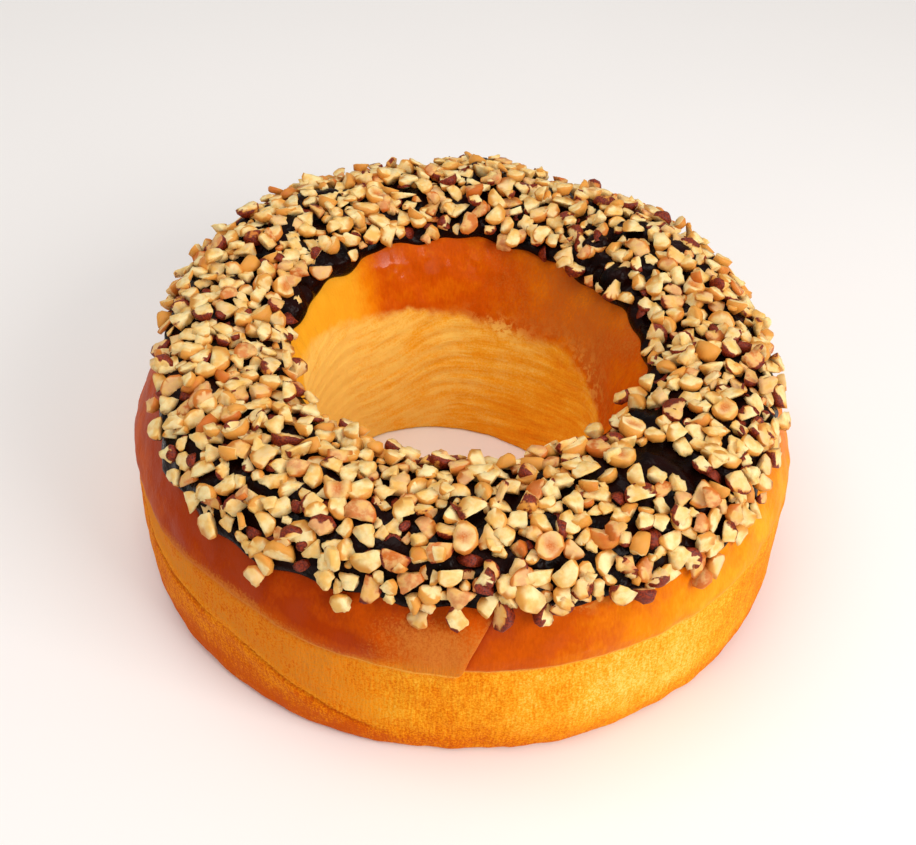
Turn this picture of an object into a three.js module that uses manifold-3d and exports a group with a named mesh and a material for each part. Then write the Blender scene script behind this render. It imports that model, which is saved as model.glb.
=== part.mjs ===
// A ring-shaped brioche loaf, glazed with chocolate and crusted with chopped hazelnuts.
// Millimetres, +Z up. The loaf stands on z = 0 with the hole's axis near the z axis.
// The crust is one baked solid. The glaze is a thin skin over its crown. The nuts are
// grouped in clusters, each one solid of touching pieces that sits on the glaze.
import * as THREE from 'three';
import { mergeVertices } from 'three/addons/utils/BufferGeometryUtils.js';
import Module from 'manifold-3d';

const wasm = await Module();
wasm.setup();

// ---------------------------------------------------------------- driving dimensions

const loaf = {
  bellyRadius: 150, // widest line of the side wall
  footRadius: 146, // where the side wall meets the base
  creaseHeight: 55, // line between the paler side band and the glossy crown
  crownRadius: 110, // highest line of the crust
  crownHeight: 105,
  throatX: 60, // half widths of the hole at the foot
  throatY: 54,
  throatShiftX: -7, // centre of the hole at the foot
  throatShiftY: -10,
  mouthRadius: 76, // the hole at the crown's inner brow
  mouthShiftX: 1,
  mouthShiftY: -1,
};

// Slow waves that keep the ring from being a perfect circle, as shares of the radius.
const ovalWaves = [
  { lobes: 2, cosine: -0.005, sine: -0.009 },
  { lobes: 3, cosine: 0.006, sine: -0.016 },
];
const crownTilt = { height: 1.5, towards: THREE.MathUtils.degToRad(170) };

// The strand's end laps over its start at the front, in a slanting step.
const lap = {
  angle: THREE.MathUtils.degToRad(-87),
  slant: 0.0042, // radians of lean for each millimetre of height
  rise: 2.2,
  topHeight: 82, // the step ends here, under the glaze's edge
  rampHeight: 20,
  fade: THREE.MathUtils.degToRad(16),
};

const glaze = { gap: 0.7, thickness: 2, inner: 0.617, outer: 0.318, ripple: 0.007 };

// Half widths of a cluster's middle nut and of those around it, and how far apart they lie.
const nut = { middle: 10.4, outer: 7.2, height: 4.4, clearance: 0.5, spacing: 9.9, around: 5 };

// Rows of clusters from the hole outwards: how far across the glaze, and how many.
const clusterRows = [
  { name: 'inner', across: 0.25, count: 14 },
  { name: 'outer', across: 0.75, count: 20 },
];

const stations = { around: 64, up: 26, base: 1 };

// ---------------------------------------------------------------- the ring's surface

// Half of the section, from the outer foot over the crown to the inner foot, as
// radius and height.
const sectionCurve = new THREE.SplineCurve([
  new THREE.Vector2(loaf.footRadius - 4, 0),
  new THREE.Vector2(loaf.footRadius, 2.5),
  new THREE.Vector2(loaf.bellyRadius, 24),
  new THREE.Vector2(loaf.bellyRadius - 1.8, loaf.creaseHeight),
  new THREE.Vector2(loaf.bellyRadius - 3, loaf.creaseHeight + 11),
  new THREE.Vector2(loaf.bellyRadius - 10, loaf.crownHeight - 22),
  new THREE.Vector2(loaf.crownRadius + 19, loaf.crownHeight - 6),
  new THREE.Vector2(loaf.crownRadius, loaf.crownHeight),
  new THREE.Vector2(loaf.crownRadius - 18, loaf.crownHeight - 2),
  new THREE.Vector2(loaf.mouthRadius + 2, loaf.crownHeight - 10),
  new THREE.Vector2(loaf.mouthRadius - 6, loaf.crownHeight - 28),
  new THREE.Vector2(loaf.mouthRadius - 10, loaf.crownHeight - 60),
  new THREE.Vector2(loaf.mouthRadius - 15, 4),
  new THREE.Vector2(loaf.mouthRadius - 12.5, 0),
]);
sectionCurve.arcLengthDivisions = 400;

function wave(theta) {
  return ovalWaves.reduce((sum, { lobes, cosine, sine }) => {
    return sum + cosine * Math.cos(lobes * theta) + sine * Math.sin(lobes * theta);
  }, 0);
}

/** Signed angle from b to a, between -PI and PI. */
function angleBetween(a, b) {
  return Math.atan2(Math.sin(a - b), Math.cos(a - b));
}

/** How far the lapped strand stands out of the side wall at an angle and height. */
function lapRise(theta, z) {
  const past = angleBetween(theta, lap.angle + lap.slant * (z - loaf.creaseHeight));
  const side = past < 0 ? 1 : -0.5;
  const foot = THREE.MathUtils.smoothstep(z, 0, lap.rampHeight);
  const brow = THREE.MathUtils.smoothstep(z, lap.topHeight - lap.rampHeight, lap.topHeight);
  return side * lap.rise * foot * (1 - brow) * Math.exp(-Math.abs(past) / lap.fade);
}

/** The hole's radius, less its nominal radius, at an angle and a height. */
function throatChange(theta, z) {
  const up = THREE.MathUtils.smoothstep(z, 0, loaf.crownHeight - 12);
  const foot = Math.hypot(loaf.throatX * Math.cos(theta), loaf.throatY * Math.sin(theta));
  const footShift = loaf.throatShiftX * Math.cos(theta) + loaf.throatShiftY * Math.sin(theta);
  const mouthShift = loaf.mouthShiftX * Math.cos(theta) + loaf.mouthShiftY * Math.sin(theta);
  const nominalFoot = loaf.mouthRadius - 15;
  return THREE.MathUtils.lerp(foot + footShift - nominalFoot, mouthShift, up);
}

/** A point of the crust: angle around the ring, and 0 to 1 up the outside and down the hole. */
function crustPoint(theta, along) {
  const { x: radius, y: height } = sectionCurve.getPointAt(THREE.MathUtils.clamp(along, 0, 1));
  const outside = THREE.MathUtils.smoothstep(radius, loaf.crownRadius - 25, loaf.crownRadius + 25);
  const outward = radius * wave(theta) + lapRise(theta, height);
  const r = radius + outside * outward + (1 - outside) * throatChange(theta, height);
  const lift = (height / loaf.crownHeight) ** 2;
  const z = height + lift * crownTilt.height * Math.cos(theta - crownTilt.towards);
  return new THREE.Vector3(r * Math.cos(theta), r * Math.sin(theta), z);
}

/** The crust's outward direction at a point, from two short steps along it. */
function crustNormal(theta, along) {
  const step = 0.004;
  const around = crustPoint(theta + step, along).sub(crustPoint(theta - step, along));
  const up = crustPoint(theta, along + step).sub(crustPoint(theta, along - step));
  return around.cross(up).normalize();
}

function glazePoint(theta, along, height) {
  return crustPoint(theta, along).addScaledVector(crustNormal(theta, along), height);
}

// ---------------------------------------------------------------- meshes

/** A closed tube of equal rings of points, each ring joined to the next and the last to the first. */
function closedRingGeometry(rings) {
  const size = rings[0].length;
  const positions = rings.flat().flatMap((point) => point.toArray());
  const index = [];
  rings.forEach((_, i) => {
    const next = (i + 1) % rings.length;
    for (let j = 0; j < size; j += 1) {
      const k = (j + 1) % size;
      const [a, b, c, d] = [i * size + j, next * size + j, next * size + k, i * size + k];
      index.push(a, b, c, a, c, d);
    }
  });
  const geometry = new THREE.BufferGeometry();
  geometry.setAttribute('position', new THREE.Float32BufferAttribute(positions, 3));
  geometry.setIndex(index);
  geometry.computeVertexNormals();
  return geometry;
}

function crustGeometry() {
  const rings = [];
  for (let i = 0; i < stations.around; i += 1) {
    const theta = (i / stations.around) * 2 * Math.PI;
    const ring = [];
    for (let j = 0; j <= stations.up; j += 1) {
      ring.push(crustPoint(theta, j / stations.up));
    }
    const [first, last] = [ring[0], ring.at(-1)];
    for (let j = 1; j <= stations.base; j += 1) {
      ring.push(last.clone().lerp(first, j / (stations.base + 1)));
    }
    rings.push(ring);
  }
  return closedRingGeometry(rings);
}

/** The glaze's edge wanders a little along the crust. */
function glazeEdge(middle, theta, phase) {
  const wander = Math.sin(5 * theta + phase) + 0.7 * Math.sin(11 * theta + 2 * phase);
  return middle + glaze.ripple * wander;
}

function glazeGeometry() {
  const steps = 9;
  const rings = [];
  for (let i = 0; i < stations.around; i += 1) {
    const theta = (i / stations.around) * 2 * Math.PI;
    const outer = glazeEdge(glaze.outer, theta, 0.6);
    const inner = glazeEdge(glaze.inner, theta, 2.1);
    const under = [];
    const over = [];
    for (let j = 0; j <= steps; j += 1) {
      const along = THREE.MathUtils.lerp(outer, inner, j / steps);
      under.unshift(glazePoint(theta, along, glaze.gap));
      over.push(glazePoint(theta, along, glaze.gap + glaze.thickness));
    }
    rings.push([...over, ...under]);
  }
  return closedRingGeometry(rings);
}

/** A repeatable number from 0 to 1 for a whole number. */
function chance(seed) {
  const value = Math.sin(seed * 127.1 + 311.7) * 43758.5453;
  return value - Math.floor(value);
}

/** One chopped nut lying on the glaze, turned about the surface's outward direction. */
function nutGeometry(theta, along, halfWidth, seed) {
  const normal = crustNormal(theta, along);
  const spin = new THREE.Quaternion().setFromAxisAngle(normal, 2 * Math.PI * chance(seed));
  const lie = new THREE.Quaternion().setFromUnitVectors(new THREE.Vector3(0, 0, 1), normal);
  const size = THREE.MathUtils.lerp(0.96, 1.04, chance(seed + 0.5));
  const scale = new THREE.Vector3(halfWidth, halfWidth, nut.height).multiplyScalar(size);
  const rest = glaze.gap + glaze.thickness + nut.clearance + nut.height * size;
  const place = glazePoint(theta, along, rest);
  return new THREE.IcosahedronGeometry(1, 0)
    .applyMatrix4(new THREE.Matrix4().compose(place, spin.multiply(lie), scale));
}

function toManifold(geometry) {
  geometry.deleteAttribute('normal');
  geometry.deleteAttribute('uv');
  const merged = mergeVertices(geometry, 1e-4);
  return new wasm.Manifold(new wasm.Mesh({
    numProp: 3,
    vertProperties: new Float32Array(merged.attributes.position.array),
    triVerts: new Uint32Array(merged.index.array),
  }));
}

function fromManifold(solid) {
  const { vertProperties, triVerts } = solid.getMesh();
  const geometry = new THREE.BufferGeometry();
  geometry.setAttribute('position', new THREE.BufferAttribute(vertProperties, 3));
  geometry.setIndex(new THREE.BufferAttribute(triVerts, 1));
  geometry.computeVertexNormals();
  return geometry;
}

/** A middle nut with others around it that each touch it, as one solid. */
function clusterGeometry(theta, along, seed) {
  const centre = crustPoint(theta, along);
  const radius = Math.hypot(centre.x, centre.y);
  const turn = 2 * Math.PI * chance(seed);
  let solid = toManifold(nutGeometry(theta, along, nut.middle, seed));
  for (let i = 0; i < nut.around; i += 1) {
    const angle = turn + (i / nut.around) * 2 * Math.PI;
    const around = (nut.spacing * Math.cos(angle)) / radius;
    const across = (nut.spacing * Math.sin(angle)) / sectionCurve.getLength();
    const neighbour = nutGeometry(theta + around, along + across, nut.outer, seed + i + 1);
    solid = solid.add(toManifold(neighbour));
  }
  return fromManifold(solid);
}

// ---------------------------------------------------------------- assembly

function finish(color, roughness) {
  return new THREE.MeshStandardMaterial({ color, roughness, metalness: 0 });
}

function namedMesh(name, geometry, material) {
  const mesh = new THREE.Mesh(geometry, material);
  mesh.name = name;
  return mesh;
}

const part = new THREE.Group();
part.add(namedMesh('loaf_ring', crustGeometry(), finish(0xb8692a, 0.45)));
part.add(namedMesh('chocolate_glaze', glazeGeometry(), finish(0x1a0e0a, 0.25)));

clusterRows.forEach(({ name, across, count }, row) => {
  for (let i = 0; i < count; i += 1) {
    const theta = ((i + 0.5 * (row % 2)) / count) * 2 * Math.PI;
    const along = THREE.MathUtils.lerp(glaze.inner, glaze.outer, across);
    const seed = 100 * (row + 1) + 10 * i;
    const label = `${name}_nuts_${String(i + 1).padStart(2, '0')}`;
    part.add(namedMesh(label, clusterGeometry(theta, along, seed), finish(0xd9b27a, 0.55)));
  }
});

// The origin is the middle of the whole part's box, on the surface that it stands on.
const bounds = new THREE.Box3().setFromObject(part);
const middle = bounds.getCenter(new THREE.Vector3());
part.position.set(-middle.x, -middle.y, -bounds.min.z);

export default part;
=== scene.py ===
"""A ring-shaped brioche loaf with a chocolate-glazed crown and a crust of chopped hazelnuts.

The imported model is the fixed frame. Each of its nodes is replaced by a detailed piece: the baked
ring, the poured glaze, and one object of separate nut pieces for each cluster of nuts. Lengths in
the classes below are millimetres, and meshes are written in metres.
"""

import logging
from dataclasses import dataclass, field, replace
from enum import Enum
from math import cos, pi, radians, sin
from typing import Callable, Iterator, Sequence

import bmesh
import bpy
import numpy as np
from mathutils import Matrix, Vector


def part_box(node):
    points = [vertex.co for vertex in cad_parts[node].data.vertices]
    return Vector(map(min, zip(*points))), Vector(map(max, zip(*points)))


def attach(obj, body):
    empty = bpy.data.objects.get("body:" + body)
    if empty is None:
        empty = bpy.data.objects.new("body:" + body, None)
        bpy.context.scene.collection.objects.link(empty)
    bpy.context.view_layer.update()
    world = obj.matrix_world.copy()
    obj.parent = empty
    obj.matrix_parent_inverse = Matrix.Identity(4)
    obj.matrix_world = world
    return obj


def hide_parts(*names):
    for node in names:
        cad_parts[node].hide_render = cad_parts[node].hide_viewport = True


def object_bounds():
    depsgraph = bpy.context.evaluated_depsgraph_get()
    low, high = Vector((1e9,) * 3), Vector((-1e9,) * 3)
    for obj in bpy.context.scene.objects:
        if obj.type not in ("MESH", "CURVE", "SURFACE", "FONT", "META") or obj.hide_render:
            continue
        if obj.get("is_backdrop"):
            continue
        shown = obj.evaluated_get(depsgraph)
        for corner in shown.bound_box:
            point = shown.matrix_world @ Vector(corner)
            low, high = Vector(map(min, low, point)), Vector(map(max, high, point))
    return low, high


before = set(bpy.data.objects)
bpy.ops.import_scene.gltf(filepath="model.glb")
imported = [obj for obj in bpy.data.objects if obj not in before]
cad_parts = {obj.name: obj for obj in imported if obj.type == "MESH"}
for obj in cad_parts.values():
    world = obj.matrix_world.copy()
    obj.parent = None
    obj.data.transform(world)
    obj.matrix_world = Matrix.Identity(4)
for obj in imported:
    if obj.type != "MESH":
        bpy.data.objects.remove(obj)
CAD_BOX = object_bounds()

log = logging.getLogger("ring_loaf")

MM = 0.001
Array = np.ndarray
Colour = tuple[float, float, float, float]


# ------------------------------------------------------------------------------ small helpers


def shade(red: int, green: int, blue: int) -> Colour:
    """Turns a display colour, 0 to 255 a channel, into a shader's linear colour.

    Args:
        red: Display red.
        green: Display green.
        blue: Display blue.

    Returns:
        The linear colour, with an alpha of one.
    """
    def linear(value: int) -> float:
        """Linear value of one display channel."""
        part = value / 255
        return part / 12.92 if part <= 0.04045 else ((part + 0.055) / 1.055) ** 2.4

    return linear(red), linear(green), linear(blue), 1.0


def smooth_step(value: Array, low: float, high: float) -> Array:
    """Eases from 0 at low to 1 at high."""
    share = np.clip((np.asarray(value, float) - low) / (high - low), 0.0, 1.0)
    return share * share * (3 - 2 * share)


def window(value: Array, rise: tuple[float, float], fall: tuple[float, float]) -> Array:
    """Eases from 0 to 1 over one range, and back to 0 over a later one."""
    return smooth_step(value, *rise) * (1 - smooth_step(value, *fall))


def bell(value: Array, middle: float, width: float) -> Array:
    """A smooth bump of height one around a middle value."""
    return np.exp(-(((value - middle) / width) ** 2))


def turn_between(angle: Array, start: float) -> Array:
    """Signed turn from one angle to another, between minus pi and pi."""
    return np.arctan2(np.sin(angle - start), np.cos(angle - start))


@dataclass(frozen=True)
class Side:
    """A side of the ring: its middle in degrees, and the degrees over which it fades out."""

    degrees: float
    width: float

    def share(self, angle: Array) -> Array:
        """How much an angle belongs to this side, from 0 to 1."""
        return bell(np.degrees(turn_between(angle, radians(self.degrees))), 0.0, self.width)


class Lumps:
    """Repeatable smooth noise in space, used to shape surfaces."""

    height = 1.6
    frequencies = (0.6, 1.5)

    def __init__(self, seed: int, waves: int = 24) -> None:
        """Draws the directions and phases of the waves that make up the noise.

        Args:
            seed: Start of the random draws.
            waves: How many waves are summed.
        """
        rng = np.random.default_rng(seed)
        directions = rng.normal(size=(waves, 3))
        directions /= np.linalg.norm(directions, axis=1, keepdims=True)
        self.directions = directions * rng.uniform(*self.frequencies, size=(waves, 1))
        self.phases = rng.uniform(0, 2 * pi, size=waves)
        self.scale = self.height / np.sqrt(waves)

    def at(self, points: Array, size: float) -> Array:
        """Noise from about -1 to 1.

        Args:
            points: Places, in any one unit, in the last axis.
            size: Usual width of a lump, in the same unit.

        Returns:
            One value for each place.
        """
        total = np.zeros(points.shape[:-1])
        for direction, phase in zip(self.directions, self.phases):
            total += np.sin(points @ (direction * (pi / size)) + phase)
        return total * self.scale


def mesh_object(name: str, points: Array, faces: Array,
                fields: dict[str, Array] | None = None) -> bpy.types.Object:
    """Makes a smooth-shaded mesh object from arrays.

    Args:
        name: Name of the piece.
        points: Corner places in metres, one row each.
        faces: Corner numbers, one row for each face, all of one length.
        fields: Values at the corners, by attribute name, for the materials to read.

    Returns:
        The new object, linked to the scene.
    """
    mesh = bpy.data.meshes.new(name)
    sides = faces.shape[1]
    mesh.vertices.add(len(points))
    mesh.vertices.foreach_set("co", points.astype(np.float32).ravel())
    mesh.loops.add(faces.size)
    mesh.loops.foreach_set("vertex_index", faces.astype(np.int32).ravel())
    mesh.polygons.add(len(faces))
    mesh.polygons.foreach_set("loop_start", np.arange(0, faces.size, sides, dtype=np.int32))
    mesh.update(calc_edges=True)
    mesh.shade_smooth()
    for key, values in (fields or {}).items():
        attribute = mesh.attributes.new(key, "FLOAT", "POINT")
        attribute.data.foreach_set("value", values.astype(np.float32).ravel())
    piece = bpy.data.objects.new(name, mesh)
    bpy.context.scene.collection.objects.link(piece)
    return piece


def ring_faces(around: int, section: int) -> Array:
    """Quads of a closed tube of rings, each ring a closed loop of points.

    Args:
        around: Number of rings.
        section: Points in each ring.

    Returns:
        Corner numbers, four to a row, facing out.
    """
    ring, place = np.meshgrid(np.arange(around), np.arange(section), indexing="ij")
    next_ring, next_place = (ring + 1) % around, (place + 1) % section
    corners = [ring * section + place, next_ring * section + place,
               next_ring * section + next_place, ring * section + next_place]
    return np.stack(corners, axis=-1).reshape(-1, 4)


# ------------------------------------------------------------------------------ the ring's form


@dataclass
class Section:
    """The ring's cross-section, from the outer foot over the crown to the foot of the hole."""

    belly_radius: float = 150.0
    foot_radius: float = 148.0
    crease_height: float = 55.0
    crown_radius: float = 110.0
    crown_height: float = 105.0
    mouth_radius: float = 76.0
    samples: int = 1200

    def __post_init__(self) -> None:
        """Lays the curve through its points and measures it."""
        top, mouth = self.crown_height, self.mouth_radius
        points = np.array([
            (self.foot_radius - 4, 0), (self.foot_radius, 2.5), (self.belly_radius, 24),
            (self.belly_radius - 1.8, self.crease_height),
            (self.belly_radius - 3, self.crease_height + 11),
            (self.belly_radius - 10, top - 22), (self.crown_radius + 19, top - 6),
            (self.crown_radius, top), (self.crown_radius - 18, top - 2),
            (mouth + 2, top - 10), (mouth - 6, top - 28), (mouth - 10, top - 60),
            (mouth - 15, 4), (mouth - 12.5, 0),
        ], float)
        last = len(points) - 1
        place = np.linspace(0, last, self.samples)
        first = np.minimum(place.astype(int), last - 1)
        part = (place - first)[:, None]
        before, start = points[np.maximum(first - 1, 0)], points[first]
        end, after = points[first + 1], points[np.minimum(first + 2, last)]
        leave, arrive = (end - before) / 2, (after - start) / 2
        self.curve = ((2 * start - 2 * end + leave + arrive) * part**3
                      + (3 * end - 3 * start - 2 * leave - arrive) * part**2
                      + leave * part + start)
        steps = np.hypot(*np.diff(self.curve, axis=0).T)
        self.length = float(steps.sum())
        self.share = np.concatenate([[0], np.cumsum(steps)]) / self.length

    def at(self, along: Array) -> tuple[Array, Array]:
        """Radius and height at shares of the way along the section."""
        radius = np.interp(along, self.share, self.curve[:, 0])
        return radius, np.interp(along, self.share, self.curve[:, 1])


@dataclass
class Seam:
    """The step at the front where the strand's end laps over its start."""

    angle: float = radians(-88.4)
    slant: float = 0.0018
    curve: float = 0.000054
    rise: float = 2.4
    sink: float = 0.45
    lip: float = 0.5
    fade: float = radians(13)
    crisp: float = radians(0.5)
    low: float = 50.0
    high: float = 84.0

    def angle_at(self, height: Array, crease: float) -> Array:
        """Angle of the slanting edge at a height."""
        rise = height - crease
        return self.angle + self.slant * rise + self.curve * rise**2


@dataclass
class RingForm:
    """The crust's outer surface as angles around the ring and shares along the section.

    A wave of the outside is how often it goes round the ring, with its cosine and sine shares.
    """

    section: Section = field(default_factory=Section)
    seam: Seam = field(default_factory=Seam)
    throat: tuple[float, float] = (60.0, 54.0)
    throat_shift: tuple[float, float] = (-7.0, -10.0)
    mouth_shift: tuple[float, float] = (1.0, -1.0)
    tilt: float = 1.5
    tilt_towards: float = radians(170)
    waves: tuple[tuple[int, float, float], ...] = ((2, -0.005, -0.009), (3, 0.006, -0.016))

    def __post_init__(self) -> None:
        """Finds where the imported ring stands, so that this form lies on it."""
        angle, along = np.meshgrid(np.linspace(0, 2 * pi, 721), np.linspace(0, 1, 200))
        plain = self.plain(angle, along).reshape(-1, 3)
        low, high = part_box("loaf_ring")
        middle = (plain.min(axis=0) + plain.max(axis=0)) / 2
        self.shift = np.array([(low[0] + high[0]) / 2 / MM - middle[0],
                               (low[1] + high[1]) / 2 / MM - middle[1], 0.0])

    def wave(self, angle: Array) -> Array:
        """Share by which the outside stands proud of a true circle.

        Args:
            angle: Angles around the ring.

        Returns:
            The share at each angle.
        """
        proud = np.zeros(np.shape(angle))
        for count, cosine, sine in self.waves:
            proud = proud + cosine * np.cos(count * angle) + sine * np.sin(count * angle)
        return proud

    def plain(self, angle: Array, along: Array) -> Array:
        """The smooth form, with no fine shape, about the ring's own axis.

        Args:
            angle: Angles around the ring.
            along: Shares of the way along the section.

        Returns:
            Places in millimetres, in the last axis.
        """
        radius, height = self.section.at(along)
        crown, top = self.section.crown_radius, self.section.crown_height
        outside = smooth_step(radius, crown - 25, crown + 25)
        up = smooth_step(height, 0, top - 12)
        throat_x, throat_y = self.throat
        foot = (np.hypot(throat_x * np.cos(angle), throat_y * np.sin(angle))
                + self.throat_shift[0] * np.cos(angle) + self.throat_shift[1] * np.sin(angle)
                - (self.section.mouth_radius - 15))
        mouth = self.mouth_shift[0] * np.cos(angle) + self.mouth_shift[1] * np.sin(angle)
        reach = (radius + outside * radius * self.wave(angle)
                 + (1 - outside) * (foot * (1 - up) + mouth * up))
        lift = (height / top) ** 2 * self.tilt * np.cos(angle - self.tilt_towards)
        return np.stack([reach * np.cos(angle), reach * np.sin(angle), height + lift], axis=-1)

    def point(self, angle: Array, along: Array) -> Array:
        """The smooth form in the row frame, in millimetres."""
        return self.plain(np.asarray(angle), np.asarray(along)) + self.shift

    def normal(self, angle: Array, along: Array) -> Array:
        """Outward direction of the smooth form.

        Args:
            angle: Angles around the ring.
            along: Shares of the way along the section.

        Returns:
            Directions of length one, in the last axis.
        """
        step = 0.003
        around = self.plain(angle + step, along) - self.plain(angle - step, along)
        up = (self.plain(angle, np.minimum(along + step, 1))
              - self.plain(angle, np.maximum(along - step, 0)))
        out = np.cross(around, up)
        return out / np.linalg.norm(out, axis=-1, keepdims=True)


# ------------------------------------------------------------------------------ shader helpers


class Graph:
    """Places and joins the nodes of one shader tree."""

    def __init__(self, tree: bpy.types.NodeTree) -> None:
        """Keeps the tree that nodes go into."""
        self.tree = tree

    def node(self, kind: str, inputs: dict[str | int, object] | None = None,
             **settings: object) -> bpy.types.Node:
        """Adds a node.

        Args:
            kind: Blender's type name of the node.
            inputs: What each input socket holds: a socket to link, or a value.
            **settings: Properties of the node.

        Returns:
            The new node.
        """
        node = self.tree.nodes.new(kind)
        for key, value in settings.items():
            setattr(node, key, value)
        for key, value in (inputs or {}).items():
            self.feed(node.inputs[key], value)
        return node

    def feed(self, socket: bpy.types.NodeSocket, value: object) -> None:
        """Links a socket to another one, or sets it to a value.

        Args:
            socket: The input socket.
            value: The output socket to link, or the value to hold.
        """
        if isinstance(value, bpy.types.NodeSocket):
            self.tree.links.new(value, socket)
        else:
            socket.default_value = value

    def attribute(self, name: str) -> bpy.types.NodeSocket:
        """A mesh attribute's value."""
        return self.node("ShaderNodeAttribute", attribute_name=name).outputs["Fac"]

    def place(self) -> bpy.types.NodeSocket:
        """The place on the object, in metres in the row frame."""
        return self.node("ShaderNodeTexCoord").outputs["Object"]

    def stretch(self, vector: bpy.types.NodeSocket, scale: Sequence[float]) -> bpy.types.NodeSocket:
        """A place scaled by its own factor along each axis."""
        return self.node("ShaderNodeMapping", {"Vector": vector, "Scale": scale}).outputs[0]

    def noise(self, vector: bpy.types.NodeSocket, scale: object, detail: float = 3.0,
              roughness: float = 0.5) -> bpy.types.NodeSocket:
        """Soft noise from 0 to 1.

        Args:
            vector: The place.
            scale: Lumps to the metre, as a number or a socket.
            detail: How many finer layers it has.
            roughness: How strong the finer layers are.

        Returns:
            The noise.
        """
        node = self.node("ShaderNodeTexNoise", {"Vector": vector, "Scale": scale,
                                                "Detail": detail, "Roughness": roughness})
        return node.outputs[0]

    def span(self, value: bpy.types.NodeSocket, low: float, high: float,
             to_low: float = 0.0, to_high: float = 1.0) -> bpy.types.NodeSocket:
        """A value eased from one range to another and held at its ends.

        Args:
            value: The value.
            low: Start of its range.
            high: End of its range.
            to_low: What it becomes at the start.
            to_high: What it becomes at the end.

        Returns:
            The eased value.
        """
        node = self.node("ShaderNodeMapRange", {"Value": value, "From Min": low, "From Max": high,
                                                "To Min": to_low, "To Max": to_high},
                         interpolation_type="SMOOTHSTEP")
        return node.outputs[0]

    def math(self, operation: str, first: object, second: object) -> bpy.types.NodeSocket:
        """Two values put together by a math operation."""
        return self.node("ShaderNodeMath", {0: first, 1: second}, operation=operation).outputs[0]

    def sum(self, first: object, second: object) -> bpy.types.NodeSocket:
        """Two values added."""
        return self.math("ADD", first, second)

    def product(self, first: object, second: object) -> bpy.types.NodeSocket:
        """Two values multiplied."""
        return self.math("MULTIPLY", first, second)

    def swing(self, value: bpy.types.NodeSocket, depth: object) -> bpy.types.NodeSocket:
        """A value from 0 to 1 made to swing about zero, by half a depth each way."""
        return self.product(self.sum(value, -0.5), depth)

    def mix(self, share: object, first: object, second: object) -> bpy.types.NodeSocket:
        """Two colours blended by a share from 0 to 1."""
        inputs = {0: share, 6: first, 7: second}
        return self.node("ShaderNodeMix", inputs, data_type="RGBA").outputs[2]

    def ramp(self, value: bpy.types.NodeSocket,
             stops: Sequence[tuple[float, Colour]]) -> bpy.types.NodeSocket:
        """A colour looked up between stops.

        Args:
            value: Where to look, from 0 to 1.
            stops: Place and colour of each stop.

        Returns:
            The colour.
        """
        node = self.node("ShaderNodeValToRGB", {0: value})
        elements = node.color_ramp.elements
        while len(elements) < len(stops):
            elements.new(0.5)
        for element, (place, colour) in zip(elements, stops):
            element.position = place
            element.color = colour
        return node.outputs[0]

    def effect(self, group: bpy.types.NodeTree,
               inputs: dict[str, object]) -> bpy.types.Node:
        """Places a shared effect with its own values."""
        return self.node("ShaderNodeGroup", inputs, node_tree=group)


def new_effect(name: str, inputs: Sequence[tuple[str, str, object]],
               outputs: Sequence[tuple[str, str]],
               build: Callable[[Graph, bpy.types.Node], dict[str, bpy.types.NodeSocket]]
               ) -> bpy.types.NodeTree:
    """Makes a node group that several materials share.

    Args:
        name: Name of the effect.
        inputs: Name, socket type and default of each input.
        outputs: Name and socket type of each output.
        build: Makes the inside from the graph and the input node, and returns the outputs.

    Returns:
        The node group.
    """
    group = bpy.data.node_groups.new(name, "ShaderNodeTree")
    for label, kind, default in inputs:
        socket = group.interface.new_socket(name=label, in_out="INPUT", socket_type=kind)
        if default is not None:
            socket.default_value = default
    for label, kind in outputs:
        group.interface.new_socket(name=label, in_out="OUTPUT", socket_type=kind)
    graph = Graph(group)
    results = build(graph, group.nodes.new("NodeGroupInput"))
    end = group.nodes.new("NodeGroupOutput")
    for label, socket in results.items():
        group.links.new(socket, end.inputs[label])
    return group


class Effects:
    """The effects that more than one finish uses, each made once."""

    def __init__(self) -> None:
        """Builds the groups."""
        self.mottle = new_effect(
            "Mottle",
            [("Place", "NodeSocketVector", None), ("Patches", "NodeSocketFloat", 60.0),
             ("Specks", "NodeSocketFloat", 700.0)],
            [("Patchiness", "NodeSocketFloat"), ("Speckle", "NodeSocketFloat")],
            self._mottle)
        self.grain = new_effect(
            "Grain",
            [("Place", "NodeSocketVector", None), ("Coarse", "NodeSocketFloat", 250.0),
             ("Fine", "NodeSocketFloat", 1400.0), ("Fine Share", "NodeSocketFloat", 0.4)],
            [("Height", "NodeSocketFloat")],
            self._grain)

    @staticmethod
    def _mottle(graph: Graph, start: bpy.types.Node) -> dict[str, bpy.types.NodeSocket]:
        """Makes soft patches and small specks, each from 0 to 1.

        Args:
            graph: The group's graph.
            start: The group's input node.

        Returns:
            The group's outputs by name.
        """
        place = start.outputs["Place"]
        patches = graph.noise(place, start.outputs["Patches"], 4.0, 0.55)
        specks = graph.noise(place, start.outputs["Specks"], 3.0, 0.7)
        return {"Patchiness": graph.span(patches, 0.3, 0.7),
                "Speckle": graph.span(specks, 0.35, 0.65)}

    @staticmethod
    def _grain(graph: Graph, start: bpy.types.Node) -> dict[str, bpy.types.NodeSocket]:
        """Makes a surface height of broad and fine unevenness.

        Args:
            graph: The group's graph.
            start: The group's input node.

        Returns:
            The group's outputs by name.
        """
        place = start.outputs["Place"]
        coarse = graph.noise(place, start.outputs["Coarse"], 3.0)
        fine = graph.noise(place, start.outputs["Fine"], 2.0)
        return {"Height": graph.sum(coarse, graph.product(fine, start.outputs["Fine Share"]))}


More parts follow.
